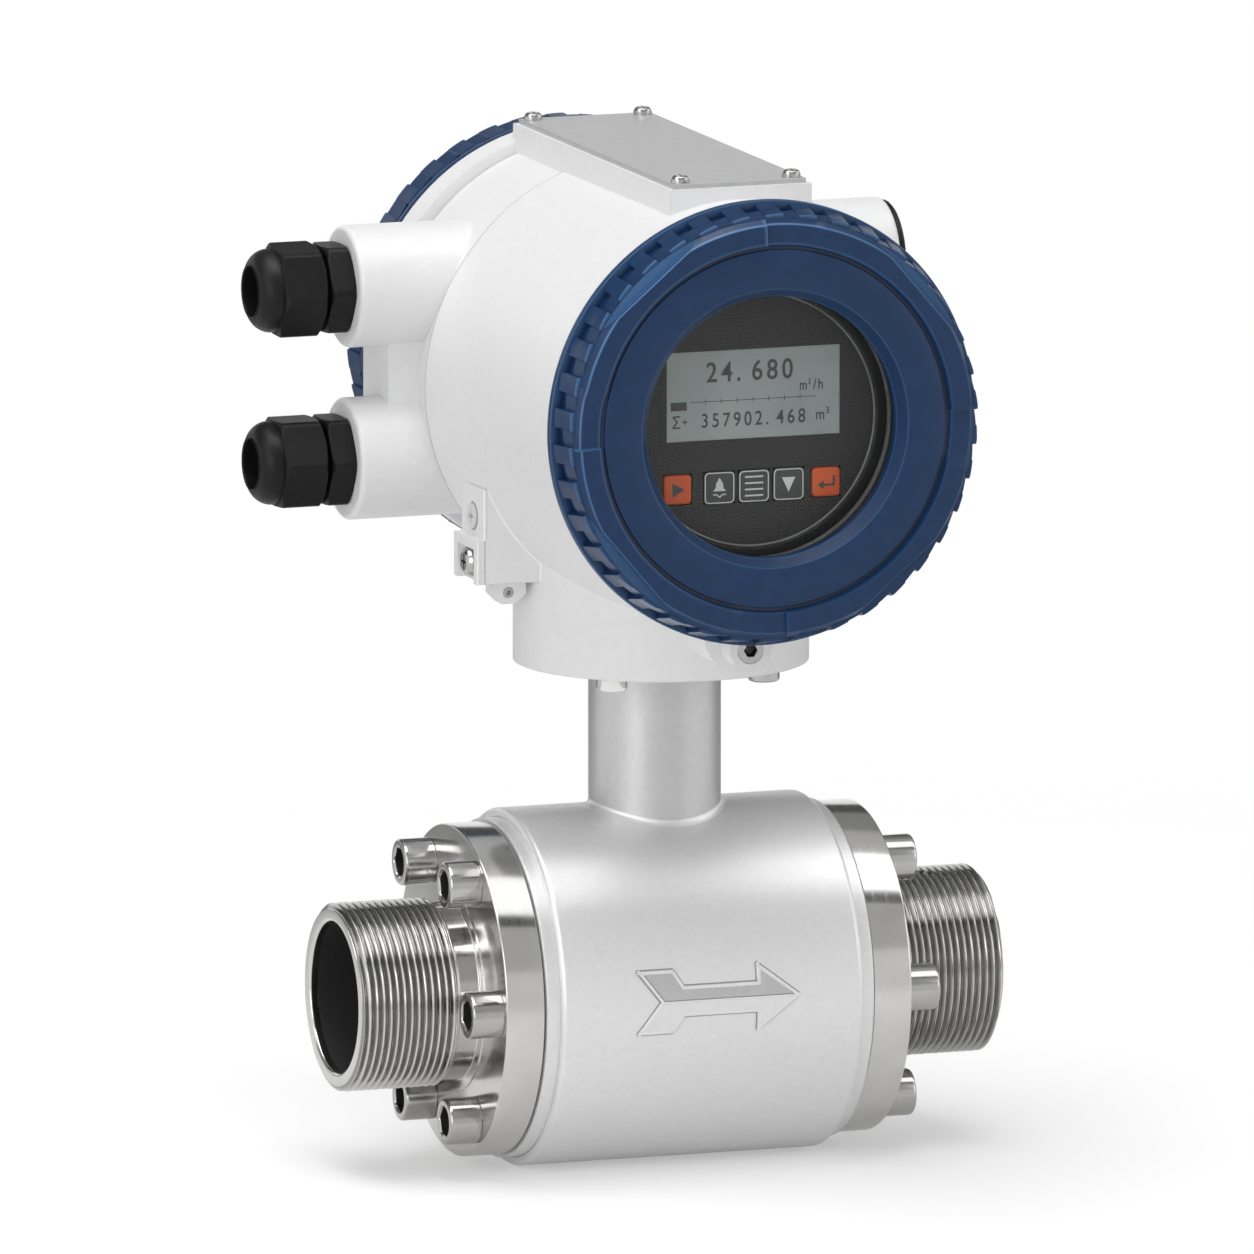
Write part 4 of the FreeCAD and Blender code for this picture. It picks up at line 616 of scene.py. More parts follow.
FINISHES = {
    "white_paint": coating("white_powder_coat", (0.81, 0.81, 0.815), (0.87, 0.87, 0.875), (0.38, 0.5),
                           1900.0, 0.00003, edge=0.0006, patch=300.0),
    # The blue's second, lighter tone is partly wear and partly painted highlight on the covers' edges
    "blue_paint": coating("blue_powder_coat", (0.0067, 0.0325, 0.0985), (0.0085, 0.0405, 0.1205),
                          (0.30, 0.38), 900.0, 0.0000005, patch=200.0, shine=0.3, second=(0.07, 0.18, 0.38)),
    "silver_paint": coating("blasted_silver", grey(0.81), grey(0.89), (0.33, 0.42),
                            2600.0, 0.00002, edge=0.001, metal=0.5, patch=500.0),
    # The steel's second, darker tone is painted shade, used in the thread's roots
    "steel": machined("turned_steel", (0.60, 0.595, 0.585), (0.67, 0.665, 0.655), (0.12, 0.2), 2600.0,
                      0.000006, edge=0.0003, place_of=turned_coordinates, second=(0.24, 0.236, 0.23)),
    "bright_screws": machined("bright_screw_steel", (0.44, 0.435, 0.43), (0.52, 0.515, 0.51), (0.14, 0.22),
                              900.0, 0.000004, edge=0.0003),
    "plate_metal": coating("grey_plate", grey(0.50), grey(0.56), (0.36, 0.46),
                           1800.0, 0.000012, edge=0.0004, metal=0.4, patch=300.0),
    "black_plastic": coating("black_nylon", grey(0.005), grey(0.010), (0.36, 0.48),
                             1200.0, 0.00002, edge=0.0005, shine=0.22),
    "panel_plastic": lined_panel("charcoal_panel"),
    "seal_rubber": coating("black_rubber", grey(0.010), grey(0.018), (0.6, 0.8),
                           1500.0, 0.00004, edge=0.0003),
    "white_plastic": coating("white_plug", grey(0.70), grey(0.76), (0.35, 0.45),
                             1200.0, 0.00001, edge=0.0004),
    "window_glass": clear_pane("clear_window"),
    "display_glass": display_film("display_film"),
    "orange_key": coating("orange_key_cap", (0.46, 0.070, 0.015), (0.54, 0.088, 0.019), (0.4, 0.5),
                          1300.0, 0.00001, edge=0.001, shine=0.25),
    "dark_key": coating("dark_key_cap", (0.020, 0.019, 0.018), (0.030, 0.029, 0.027), (0.42, 0.55),
                        1300.0, 0.00001, edge=0.001),
    "board": board_laminate("green_board"),
    "brass_parts": machined("plain_brass", (0.62, 0.43, 0.16), (0.74, 0.54, 0.24), (0.18, 0.3), 900.0,
                            0.000006, edge=0.0003),
    "coil_wire": wound_wire("copper_winding"),
    "core_iron": machined("soft_iron", (0.22, 0.22, 0.23), (0.32, 0.32, 0.33), (0.35, 0.5), 700.0,
                          0.00002, edge=0.0003),
}
DISPLAY_INK = coating("display_ink", (0.018, 0.020, 0.020), (0.03, 0.032, 0.032), (0.4, 0.5), 900.0, 0.000002)
PALE_INK = coating("pale_key_print", (0.40, 0.41, 0.40), (0.50, 0.51, 0.50), (0.45, 0.55), 900.0, 0.000002)
# Painted shade for the insides of the screws' sockets
SOCKET_SHADE = coating("painted_socket_shade", grey(0.05), grey(0.09), (0.3, 0.45), 900.0, 0.00001, metal=0.6)
NECK_METAL = coating("blasted_neck", grey(0.53), grey(0.61), (0.34, 0.42), 2600.0, 0.000015,
                     edge=0.0004, metal=0.8, patch=500.0)
KEEPER_GREY = coating("grey_keeper", grey(0.17), grey(0.22), (0.3, 0.4), 900.0, 0.000005,
                      edge=0.0006, metal=0.3)
# Painted highlight for the edges on top of the flow arrow
ARROW_EDGE_HIGHLIGHT = coating("painted_edge_highlight", grey(0.86), grey(0.92), (0.3, 0.4), 2600.0, 0.000005, metal=0.3)
# Painted shade in corners: round the flow arrow's foot and round the seal plug
CORNER_SHADE = coating("painted_corner_shade", grey(0.30), grey(0.36), (0.6, 0.7), 2600.0, 0.000005)
# Painted shade for the gutters at the foot of the covers' rims
GUTTER_SHADE_BLUE = coating("painted_gutter_shade", (0.0022, 0.011, 0.040), (0.003, 0.014, 0.050), (0.4, 0.5), 900.0,
                       0.000001)
# Painted shade for the flow arrow's upper half
ARROW_SHADE = coating("painted_shade_silver", grey(0.53), grey(0.59), (0.36, 0.45), 2600.0, 0.00001,
                      metal=0.5, patch=500.0)
# Partly wear, partly painted highlight: the lighter white of the casting's edge beads
WHITE_EDGE_HIGHLIGHT = coating("worn_white_edge_highlight", (0.93, 0.93, 0.935), (0.96, 0.96, 0.965), (0.3, 0.4), 1900.0,
                     0.00001)
# Painted shade: grey for the casting seam and for the corner between ground block and gusset
SEAM_SHADE_GREY = coating("casting_seam", (0.50, 0.50, 0.505), (0.58, 0.58, 0.585), (0.45, 0.55), 1900.0, 0.00001)

for row in frame["record"]["subparts"]:
    node = frame["nodes"][row["node"]]
    node.data.materials.clear()
    node.data.materials.append(FINISHES[row["material_slot"]])
frame["nodes"]["neck_tube"].data.materials[0] = NECK_METAL
frame["nodes"]["window_ring"].data.materials[0] = KEEPER_GREY
for end in ("inlet", "outlet"):
    frame["nodes"][end + "_end_ring"].data.materials[0] = FINISHES["silver_paint"]
    frame["nodes"][end + "_gasket"].data.materials[0] = KEEPER_GREY


# Pipe ends with their threads


def pipe_end(name, side):
    """One connector: a profile turned about the pipe. Over the thread the radius is the crest less the
    vee at a phase of the place along the pipe over the pitch plus the angle's share of a turn, held
    under the cones that end the thread. The thread's roots carry the steel's darker second tone, painted
    shade in the thread's valleys."""
    angle = turns(PIPE_SIDES)[:, None]
    collar = FLANGE_FRONT + COLLAR_TALL
    body = eased([
        (PIPE_STEP, PIPE_INNER, 0.0),
        (PIPE_BACK, PIPE_INNER, 0.0),
        (PIPE_BACK, FLANGE_RADIUS, 0.15),
        (FLANGE_FRONT, FLANGE_RADIUS, 0.7),
        (FLANGE_FRONT, COLLAR_RADIUS, 0.1),
        (collar, COLLAR_RADIUS, 0.15),
        (collar, RELIEF_RADIUS, 0.6),
        (RELIEF_END, RELIEF_RADIUS, 0.2),
    ])[:-EASE_STEPS]
    cut = np.linspace(RELIEF_END, PIPE_FRONT - 0.4, 161)
    tip = eased([
        (PIPE_FRONT, THREAD_CREST - THREAD_DEPTH - 0.3, 0.3),
        (PIPE_FRONT, PIPE_LIP, 0.5),
        (PIPE_FRONT - 0.7, PIPE_BORE, 0.3),
        (PIPE_STEP, PIPE_BORE, 0.0),
    ])
    crest = THREAD_CREST - THREAD_DEPTH * vee(side * cut[None, :] / THREAD_PITCH + angle / FULL)
    rise = RELIEF_RADIUS + (cut - RELIEF_END) * (THREAD_CREST - RELIEF_RADIUS) / (THREAD_START - RELIEF_END)
    fall = THREAD_CREST - (cut - THREAD_END) * THREAD_FALL
    thread = np.minimum(crest, np.minimum(rise, fall)[None, :])
    along, radius = joined(angle, body, (cut, thread), tip)
    # Painted shade: the thread's roots darken with their depth
    root = np.clip((THREAD_CREST - 0.2 - thread) / (THREAD_DEPTH - 0.3), 0.0, 1.0)
    tone = np.zeros_like(radius)
    tone[:, len(body):len(body) + len(cut)] = root * (cut > THREAD_START)
    grid = along_x(side * along, radius, angle)
    piece(name + "_threaded_end", [(grid, True, True)], "meter", "steel", stands_for=[name + "_connector"],
          crease=40.0, tone=tone)


# Socket screws


def socket_screw_grid(shank, reach, head, tall, flats, deep):
    """A socket screw about its own axis, the seat at nought and the head outwards: round rows for shank,
    head and the socket's countersunk mouth, hexagon rows down the socket, and the ends closed on the axis."""
    angle = turns(SCREW_SIDES)[:, None]
    outside = [
        (-reach, 0.0), (-reach, shank - 0.6), (0.6 - reach, shank), (0.0, shank), (0.0, head - 0.2),
        (0.2, head), (tall - 1.1, head), (tall - 0.55, head - 0.12), (tall - 0.2, head - 0.4),
        (tall - 0.03, head - 0.85), (tall, head - 1.4), (tall, flats * 1.19), (tall - 0.06, flats * 1.17),
    ]
    recess = np.array([(tall - 0.5, flats), (tall - deep, flats), (tall - deep - 0.8, 0.0)])
    socket = (recess[:, 0], hexagon(angle, recess[None, :, 1], 0.0))
    return along_x(*joined(angle, outside, socket), angle)


def socket_skin_grid(tall, flats, deep):
    """Painted shade inside a screw's socket: a thin dark hexagon cup, its inner and outer wall closed on the
    axis at the bottom and joined at the mouth."""
    angle = turns(SCREW_SIDES)[:, None]
    rows = np.array([
        (tall - deep - 0.6, 0.0), (tall - deep + 0.1, flats - 0.12), (tall - 0.55, flats - 0.12),
        (tall - 0.55, flats - 0.02), (tall - deep + 0.02, flats - 0.02), (tall - deep - 0.7, 0.0),
    ])
    return along_x(rows[None, :, 0], hexagon(angle, rows[None, :, 1], 0.0), angle)


def lock_socket_skin():
    """Painted shade in the cover lock screw's socket: a dark skin, its mouth to the front."""
    cup = socket_skin_grid(*LOCK_SOCKET)
    grid = np.stack([cup[..., 2], -LOCK_FACE - cup[..., 0], LOCK_HEIGHT + cup[..., 1]], axis=-1)
    piece("lock_socket_skin", [(grid, True, False)], "meter", "bright_screws", SOCKET_SHADE)


def on_flange(grid, side):
    """Copies of a screw's grid round a flange, heads outwards: the angle counts from the front towards the
    top, and each copy is spun a little further about its own axis."""
    angle = turns(FLANGE_SCREWS)[:, None, None]
    spin = FIRST_SPIN + SPIN_STEP * side * np.arange(FLANGE_SCREWS)[:, None, None]
    behind = grid[..., 1] * np.cos(spin) - grid[..., 2] * np.sin(spin) - SCREW_CIRCLE * np.cos(angle)
    up = grid[..., 1] * np.sin(spin) + grid[..., 2] * np.cos(spin) + SCREW_CIRCLE * np.sin(angle)
    out = np.broadcast_to(side * (FLANGE_FRONT + grid[..., 0]), up.shape)
    return [(np.stack([out, behind, up], axis=-1), True, False)]


def flange_screws():
    """Six screws at each end, each with a dark skin of painted shade in its socket."""
    screw = socket_screw_grid(*FLANGE_SCREW)
    skin = socket_skin_grid(*FLANGE_SCREW[3:])
    for name, side in (("inlet", -1), ("outlet", 1)):
        piece(name + "_socket_screws", on_flange(screw, side), "meter", "bright_screws",
              stands_for=[name + "_screws"])
        piece(name + "_socket_skins", on_flange(skin, side), "meter", "bright_screws", SOCKET_SHADE)


def neck_screws():
    """Four screws under the head, at the corners of a square about the turret, heads downwards."""
    screw = socket_screw_grid(*NECK_SCREW)
    angle = math.radians(45) + turns(4)
    middle = np.stack([np.cos(angle) * NECK_SCREW_CIRCLE, np.sin(angle) * NECK_SCREW_CIRCLE + TURRET_BEHIND,
                       np.full(4, NECK_SCREW_SEAT)], axis=-1)
    hanging = np.stack([screw[..., 1], screw[..., 2], -screw[..., 0]], axis=-1)
    grid = hanging[None] + middle[:, None, None, :]
    piece("neck_socket_screws", [(grid, True, False)], "meter", "bright_screws", stands_for=["neck_screws"])


# Screw covers


def cover_angles():
    """Angles round a cover with the tile's height and the pocket's share at each: eleven to each grip tooth,
    close together at the tile's ends, and four more at each recess of the rim."""
    tooth = FULL / TEETH
    regular = (tooth * (np.arange(TEETH)[:, None] + GAP_SHARE / 2 + TOOTH_STEPS[None, :])).ravel()
    edges = RIM_TURN + turns(4)
    ramp_foot = edges - RIM_RECESS
    angle = np.concatenate([regular, edges - 0.001, edges + 0.001, ramp_foot, ramp_foot - RIM_RAMP])
    angle = np.sort(np.mod(angle, FULL))
    share = np.mod(angle / tooth - GAP_SHARE / 2, 1.0)
    return angle, np.interp(share, TOOTH_STEPS, TILE_RISE), np.interp(share, TOOTH_STEPS, POCKET_SHARE)


def cover_rows(angle, rise, pocket, back, face, radii, hand):
    """Rows (distance ahead, radius, share of the lighter blue) from the face edge over the rim, the grip
    tiles and the lip to the spigot's end. The rim is level but for a recess in each quarter turn, a step at
    one end and a ramp at the other, with a gutter along its inner foot. Its side is a steep cone.
    Four flats are cut where a chord lies inside that side: their wall stands at the chord's distance over
    the cosine of the angle from the flat's middle. A grip tile stands above the floor by its height at that
    angle, and between the tiles the floor drops into a pocket beside the lip. The spigot's radius follows
    the vee of its thread. The lighter blue on the edges, the rim's steps and the tiles is partly wear and
    partly painted highlight, strongest at the upper left, where the light comes from."""
    edge, foot, far, chord = radii
    quarter = math.radians(90)
    to_step = np.mod(RIM_TURN - angle, quarter)
    top = face - RIM_FALL * np.clip((RIM_RECESS + RIM_RAMP - to_step) / RIM_RAMP, 0.0, 1.0)
    gutter = face - FACE_SINK - GUTTER_DEEP
    from_flat = np.mod(angle - FLAT_TURN + quarter / 2, quarter) - quarter / 2
    cut = chord / np.cos(from_flat)
    side_end = face - SIDE_DROP
    slope = (top - 0.3 - side_end) / (foot - edge)
    wall = np.minimum(cut, foot - 0.1)
    wall_top = np.where(cut > edge, top - 0.3 - (wall - edge) * slope, top - 0.3)
    wall_foot = np.minimum(wall_top - 0.02, side_end + 0.15)
    crown = np.minimum(edge, cut)
    tile = rise * (far - foot)
    near = GRIP_FLOOR + rise * (GRIP_NEAR - GRIP_FLOOR)
    middle = 0.55 * near + 0.45 * (foot + tile)
    grip_back = back + LIP_WIDE
    flat = 1.0 * (cut < foot - 0.1)
    tiled = 1.0 * (rise > 0.5)
    rim_step = 0.8 * (np.abs(np.mod(angle - RIM_TURN + quarter / 2, quarter) - quarter / 2) < 0.002)
    tile_top = foot + tile
    rows = [
        (face - FACE_SINK, FACE_EDGE - 0.9, 0.0),
        (face - FACE_SINK - 0.15, FACE_EDGE - 0.6, 0.2),
        (gutter, FACE_EDGE - 0.3, 0.0),
        (gutter, FACE_EDGE + 0.6, 0.0),
        (top - 0.25, RIM_INNER - 0.3, np.maximum(rim_step, 0.15)),
        (top, RIM_INNER + 0.25, np.maximum(rim_step, 0.3)),
        (top, RIM_INNER + 0.7, rim_step),
        (top, crown - 0.55, rim_step),
        (top - 0.06, crown - 0.2, 0.9),
        (top - 0.28, crown, 1.0),
        (0.75 * (top - 0.28) + 0.25 * wall_top, 0.75 * crown + 0.25 * wall, rim_step),
        (wall_top, wall + 0.01, rim_step),
        (wall_foot, wall + 0.06, 0.9 * flat),
        (np.minimum(wall_foot - 0.02, side_end + 0.1), foot - 0.03, 0.7 * flat),
        (side_end, foot, 0.0),
        (side_end - 0.03, foot + 0.9 * tile, 0.8 * tiled),
        (side_end - 0.3, tile_top, 0.8 * tiled),
        (side_end - 0.8, 0.92 * tile_top + 0.08 * middle, 0.0),
        (grip_back + 4.9, middle, 0.0),
        (grip_back + 4.5, middle + (POCKET_FLOOR - middle) * pocket, 0.0),
        (grip_back + 1.0, near + (POCKET_FLOOR - near) * pocket, 0.0),
        (grip_back + 0.7, near - 0.12 * rise + (POCKET_FLOOR - near) * pocket, 0.0),
        (grip_back + 0.6, POCKET_FLOOR, 0.0),
        (grip_back, POCKET_FLOOR, 0.0),
        (grip_back, LIP_RADIUS - 0.5, 0.3),
        (grip_back - 0.15, LIP_RADIUS - 0.12, 0.8),
        (grip_back - 0.5, LIP_RADIUS, 0.0),
        (back + 0.5, LIP_RADIUS, 0.0),
        (back + 0.15, LIP_RADIUS - 0.12, 0.2),
        (back, LIP_RADIUS - 0.5, 0.0),
        (back, GROOVE_FLOOR, 0.0),
        (back - GROOVE_WIDE, GROOVE_FLOOR, 0.0),
    ]
    run = np.linspace(back - GROOVE_WIDE, back - SPIGOT_LONG, 44)
    phase = run[None, :] / SPIGOT_PITCH - hand * angle[:, None] / FULL
    runout = np.clip((run - (back - SPIGOT_LONG)) * 1.2, 0.0, SPIGOT_CUT)
    thread = SPIGOT_RADIUS - np.maximum(SPIGOT_CUT * vee(phase), (SPIGOT_CUT - runout)[None, :])
    outside = np.stack([np.stack(np.broadcast_arrays(angle, *row)[1:], axis=-1) for row in rows], axis=1)
    # Painted highlight: the lighter blue grows towards the upper left, where the light comes from
    outside[..., 2] *= (0.55 + 0.45 * np.cos(angle - LIGHT_TURN))[:, None]
    winding = np.stack(np.broadcast_arrays(run[None, :], thread, 0.0), axis=-1)
    return np.concatenate([outside, winding], axis=1)


def closed_cover(name, node, back, face, radii, side, start, inside):
    """A cover as one closed skin: the start profile, the outer rows, then the inside profile, the same at
    every angle. A skin that starts on the axis is closed there, and any other joins its own start."""
    angle, rise, pocket = cover_angles()
    outside = cover_rows(angle, rise, pocket, back, face, radii, -side)
    skins = [np.broadcast_to(np.array(room, float).reshape(-1, 3), (len(angle), len(room), 3))
             for room in (start, inside)]
    skin = np.concatenate([skins[0], outside, skins[1]], axis=1)
    grid = along_y(side * skin[..., 0], skin[..., 1], angle[:, None])
    piece(name, [(grid, True, not start)], node, "blue_paint", stands_for=[node], crease=28.0,
          tone=skin[..., 2])


def gutter_shade(name, node, face, side):
    """Painted shade in the gutter of a cover: a thin dark flat ring about the head's axis."""
    low = face - FACE_SINK - GUTTER_DEEP - SINK
    high = low + 0.13
    inner = FACE_EDGE - 0.28
    outer = FACE_EDGE + 0.58
    section = [(low, inner), (high, inner), (high, outer), (low, outer)]
    piece(name, head_ring(section, side), node, "blue_paint", GUTTER_SHADE_BLUE)


def screw_covers():
    """The front cover is a ring with a bevelled window, and the rear cover is closed in the middle."""
    face = FRONT_FACE - FACE_SINK
    window = [(FRONT_BACK - SPIGOT_LONG, SPIGOT_INNER, 0.0), (GLASS_SEAT, SPIGOT_INNER, 0.0),
              (GLASS_SEAT, GLASS_RADIUS, 0.0), (GLASS_FRONT, GLASS_RADIUS, 0.0),
              (GLASS_FRONT, WINDOW_RADIUS, 0.0)]
    # The bevel's edges take the lighter blue: partly wear, partly painted highlight
    window += [(face - deep, WINDOW_RADIUS + out, worn_and_lit) for deep, out, worn_and_lit in WINDOW_BEVEL]
    closed_cover("front_cover_ring", "front_cover", FRONT_BACK, FRONT_FACE, FRONT_RADII, -1, [], window)
    plate = [(REAR_FACE - FACE_SINK, 0.0, 0.0)]
    room = [(REAR_BACK - SPIGOT_LONG, SPIGOT_INNER, 0.0), (REAR_ROOF, SPIGOT_INNER, 0.0),
            (REAR_ROOF, 0.0, 0.0)]
    closed_cover("rear_cover_cap", "rear_cover", REAR_BACK, REAR_FACE, REAR_RADII, 1, plate, room)
    gutter_shade("front_gutter", "front_cover", FRONT_FACE, -1)
    gutter_shade("rear_gutter", "rear_cover", REAR_FACE, 1)


# Casting


def casting_seam():
    """The parting line round the head: a thin half-round ridge, its grey painted shade along the seam.
    Its distance from the head's axis is that of the barrel or, where it lies further out, of the belly
    circle whose middle is lower."""
    angle = turns(RING_SIDES)[:, None]
    belly = np.sqrt(BELLY_RADIUS ** 2 - (BELLY_DROP * np.cos(angle)) ** 2) - BELLY_DROP * np.sin(angle)
    path = np.maximum(SEAM_RADIUS, belly)
    section = turns(BEAD_SIDES)[None, :]
    grid = along_y(SEAM_PLACE + SEAM_HALF * np.cos(section), path + SEAM_RISE * np.sin(section), angle)
    piece("casting_seam", [(grid, True, True)], "meter", "white_paint", SEAM_SHADE_GREY, crease=60.0)


def front_bead(path, thick):
    """A round bead along a path in the gusset's front plane: a circle about each point of it, spanned by the
    way ahead and the way across the path, with both ends closed."""
    path = np.array(path, float)
    way = np.gradient(path, axis=0)
    way /= np.linalg.norm(way, axis=1, keepdims=True)
    turn = turns(BEAD_SIDES)[None, :]
    across = path[:, :1] - way[:, 1:] * thick * np.sin(turn)
    up = path[:, 1:] + way[:, :1] * thick * np.sin(turn)
    behind = np.broadcast_to(-GUSSET_FRONT - thick * np.cos(turn), up.shape)
    return capped(np.stack([across, behind, up], axis=-1)), False, True


def gusset_edges():
    """Lighter beads on the edges of the ground block and of the gusset behind it, which runs out on the belly
    along an arc and on the turret along an upright line: partly wear, partly painted highlight. The dark
    joint between the two is painted shade in their corner."""
    belly_middle = HEAD_HEIGHT - BELLY_DROP
    share = (HEAD_FRONT - GUSSET_FRONT) / (HEAD_FRONT + SEAM_PLACE)
    belly = BELLY_NOSE + (BELLY_RADIUS - BELLY_NOSE) * share
    turret = -math.sqrt(TURRET_RADIUS ** 2 - (GUSSET_FRONT + TURRET_BEHIND) ** 2)
    start = -math.sqrt(belly ** 2 - (belly_middle - GUSSET_TOP) ** 2)
    across = np.linspace(start, turret, 40)
    arc = np.stack([across, belly_middle - np.sqrt(belly ** 2 - across ** 2)], axis=-1)
    block = -GUSSET_REACH - BLOCK_RISE + EDGE_BEAD
    beads = [
        front_bead(arc, EDGE_BEAD),
        front_bead([(-GUSSET_REACH, BLOCK_TOP), (-GUSSET_REACH, GUSSET_TOP)], EDGE_BEAD),
        front_bead([(block, GUSSET_LOW), (block, BLOCK_TOP)], EDGE_BEAD),
        front_bead([(turret, GUSSET_LOW), (turret, arc[-1, 1])], EDGE_BEAD),
    ]
    piece("gusset_edges", beads, "meter", "white_paint", WHITE_EDGE_HIGHLIGHT, crease=60.0)
    # Painted shade: a grey line in the corner between ground block and gusset
    joint = front_bead([(-GUSSET_REACH, GUSSET_LOW), (-GUSSET_REACH, BLOCK_TOP)], JOINT_BEAD)
    piece("block_joint", [joint], "meter", "white_paint", SEAM_SHADE_GREY, crease=60.0)


def seal_joint():
    """Painted shade in the corner round the seal plug: a thin dark round ring about the plug's axis, half
    sunk in the gusset."""
    section = turns(BEAD_SIDES)[None, :]
    along = -GUSSET_REACH + SHADE_BEAD * np.cos(section)
    radius = SEAL_RADIUS + SHADE_BEAD / 2 + SHADE_BEAD * np.sin(section)
    grid = along_x(along, radius, turns(PLUG_SIDES)[:, None], SEAL_BEHIND, SEAL_HEIGHT)
    piece("seal_joint", [(grid, True, True)], "meter", "white_paint", CORNER_SHADE, crease=60.0)


# Cable glands


def hex_bar(angle, long, turn):
    """Places along a hexagon bar and its radii there: the hexagon, its corners turned down to a circle and
    both ends cut back by a steep cone."""
    places = np.concatenate([HEX_ENDS, long - HEX_ENDS[::-1]])
    bar = np.minimum(hexagon(angle, GLAND_FLATS, turn), GLAND_CORNER)
    cone = GLAND_FLATS + HEX_LAND + HEX_CONE * np.minimum(places, long - places)
    return places, np.minimum(bar, cone[None, :])


def gland_body(name, height):
    """Gland body along -X from the boss: thread in the boss, hexagon with a flat up, threaded stem."""
    angle = turns(GLAND_SIDES)[:, None]
    tip = GLAND_HEX + GLAND_STEM_LONG
    stem = np.linspace(GLAND_HEX, tip, 41)
    winding = GLAND_STEM - STEM_CUT * vee(stem[None, :] / STEM_PITCH + angle / FULL)
    start = [(-GLAND_REACH, GLAND_BORE), (-GLAND_REACH, GLAND_THREAD - 0.5),
             (0.5 - GLAND_REACH, GLAND_THREAD), (0.0, GLAND_THREAD)]
    end = [(tip, GLAND_BORE + 0.4), (tip - 0.4, GLAND_BORE)]
    along, radius = joined(angle, start, hex_bar(angle, GLAND_HEX, BODY_TURN), (stem, winding), end)
    grid = along_x(-BOSS_FACE - along, radius, angle, BOSS_BEHIND, height)
    piece(name + "_gland_hexagon", [(grid, True, True)], "meter", "black_plastic",
          stands_for=[name + "_gland_body"], crease=22.0)


def gland_nut(name, height, turn):
    """Dome nut along -X: hexagon, then a round end whose edge is a quarter circle, a raised lip round the
    cable hole, and the room for stem and insert inside."""
    angle = turns(GLAND_SIDES)[:, None]
    bend = np.radians(np.linspace(0.0, NUT_BEND, 15))
    arc_along = NUT_LONG - NUT_ROUND + NUT_ROUND * np.sin(bend)
    arc_radius = NUT_DOME - NUT_ROUND + NUT_ROUND * np.cos(bend)
    dome = np.concatenate([
        [(NUT_HEX + 0.05, NUT_DOME - 0.15), (NUT_HEX + 0.4, NUT_DOME)],
        np.stack([arc_along, arc_radius], axis=-1),
        [(NUT_LONG, NUT_HOLE + 0.55), (NUT_LONG, NUT_HOLE + 0.2), (NUT_LONG - 0.3, NUT_HOLE),
         (NUT_LONG - NUT_WALL, NUT_HOLE), (NUT_LONG - NUT_WALL, NUT_ROOM), (0.0, NUT_ROOM)],
    ])
    along, radius = joined(angle, hex_bar(angle, NUT_HEX, turn), dome)
    grid = along_x(-NUT_FACE - along, radius, angle, BOSS_BEHIND, height)
    piece(name + "_dome_nut", [(grid, True, True)], name + "_nut", "black_plastic",
          stands_for=[name + "_gland_nut"], crease=24.0)


# Neck joint


def neck_joint():
    """Fillet where the neck stands on the drum: a hollow quarter circle carried round the neck, lifted at
    each point to the height of the drum under it, with its back and underside closed inside the metal."""
    angle = turns(NECK_SIDES)[:, None]
    bend = np.radians(np.linspace(0.0, 90.0, 13))
    out = np.concatenate([NECK_RADIUS + NECK_FILLET * (1 - np.cos(bend)),
                          [NECK_RADIUS + NECK_FILLET, NECK_RADIUS - 0.5, NECK_RADIUS - 0.5]])[None, :]
    up = np.concatenate([NECK_FILLET * (1 - np.sin(bend)), [-0.4, -0.4, NECK_FILLET]])[None, :]
    across = out * np.cos(angle)
    behind = out * np.sin(angle)
    height = np.sqrt(DRUM_RADIUS ** 2 - behind ** 2) + up
    grid = np.stack([across, behind, height], axis=-1)
    piece("neck_weld", [(grid, True, True)], "meter", "silver_paint", crease=60.0)


# Display figures and key marks


def stroke(path, wide):
    """Left and right edges of a line of that width along a path: half the width to each side of it."""
    path = np.array(path, float)
    way = np.gradient(path, axis=0)
    way /= np.linalg.norm(way, axis=1, keepdims=True)
    side = np.stack([-way[:, 1], way[:, 0]], axis=-1) * (wide / 2)
    return path - side, path + side


def inlay_grid(left, right, ahead, lift, closed):
    """A thin raised strip in the display's plane between two edges: back, front, front, back round its
    section, with its ends closed on their middle where the strip isn't a ring."""
    low = SINK - ahead
    high = -ahead - lift
    rows = [
        np.stack([edge[:, 0], np.full(len(edge), depth), edge[:, 1]], axis=-1)
        for edge, depth in ((left, low), (left, high), (right, high), (right, low))
    ]
    grid = np.stack(rows, axis=1)
    return grid if closed else capped(grid)


def inlay(name, strips, ahead, body, slot, finish, lift, middle):
    """Several strips as one piece, each (left edge, right edge, ring or not) about a common middle."""
    shift = np.array(middle)
    grids = [(inlay_grid(np.array(left) + shift, np.array(right) + shift, ahead, lift, closed), closed, True)
             for left, right, closed in strips]
    piece(name, grids, body, slot, finish)


def rounded_square(half_wide, half_tall, corner):
    """Outline of a square with round corners: a point on the corner circle at each angle, moved out by the
    straight part of the side in the quarter that the angle lies in."""
    angle = turns(SQUARE_SIDES) + FULL / SQUARE_SIDES / 2
    across = np.sign(np.cos(angle)) * (half_wide - corner) + corner * np.cos(angle)
    up = np.sign(np.sin(angle)) * (half_tall - corner) + corner * np.sin(angle)
    return np.stack([across, up], axis=-1)


def square_ring(half_wide, half_tall, corner, wide):
    """A rounded outline of that line width."""
    inner = rounded_square(half_wide - wide, half_tall - wide, max(corner - wide, LEAST_CORNER))
    return inner, rounded_square(half_wide, half_tall, corner), True


def arrow_head(base_low, base_high, tip):
    """A solid triangle from its base to its tip."""
    return [base_low, tip], [base_high, tip], False


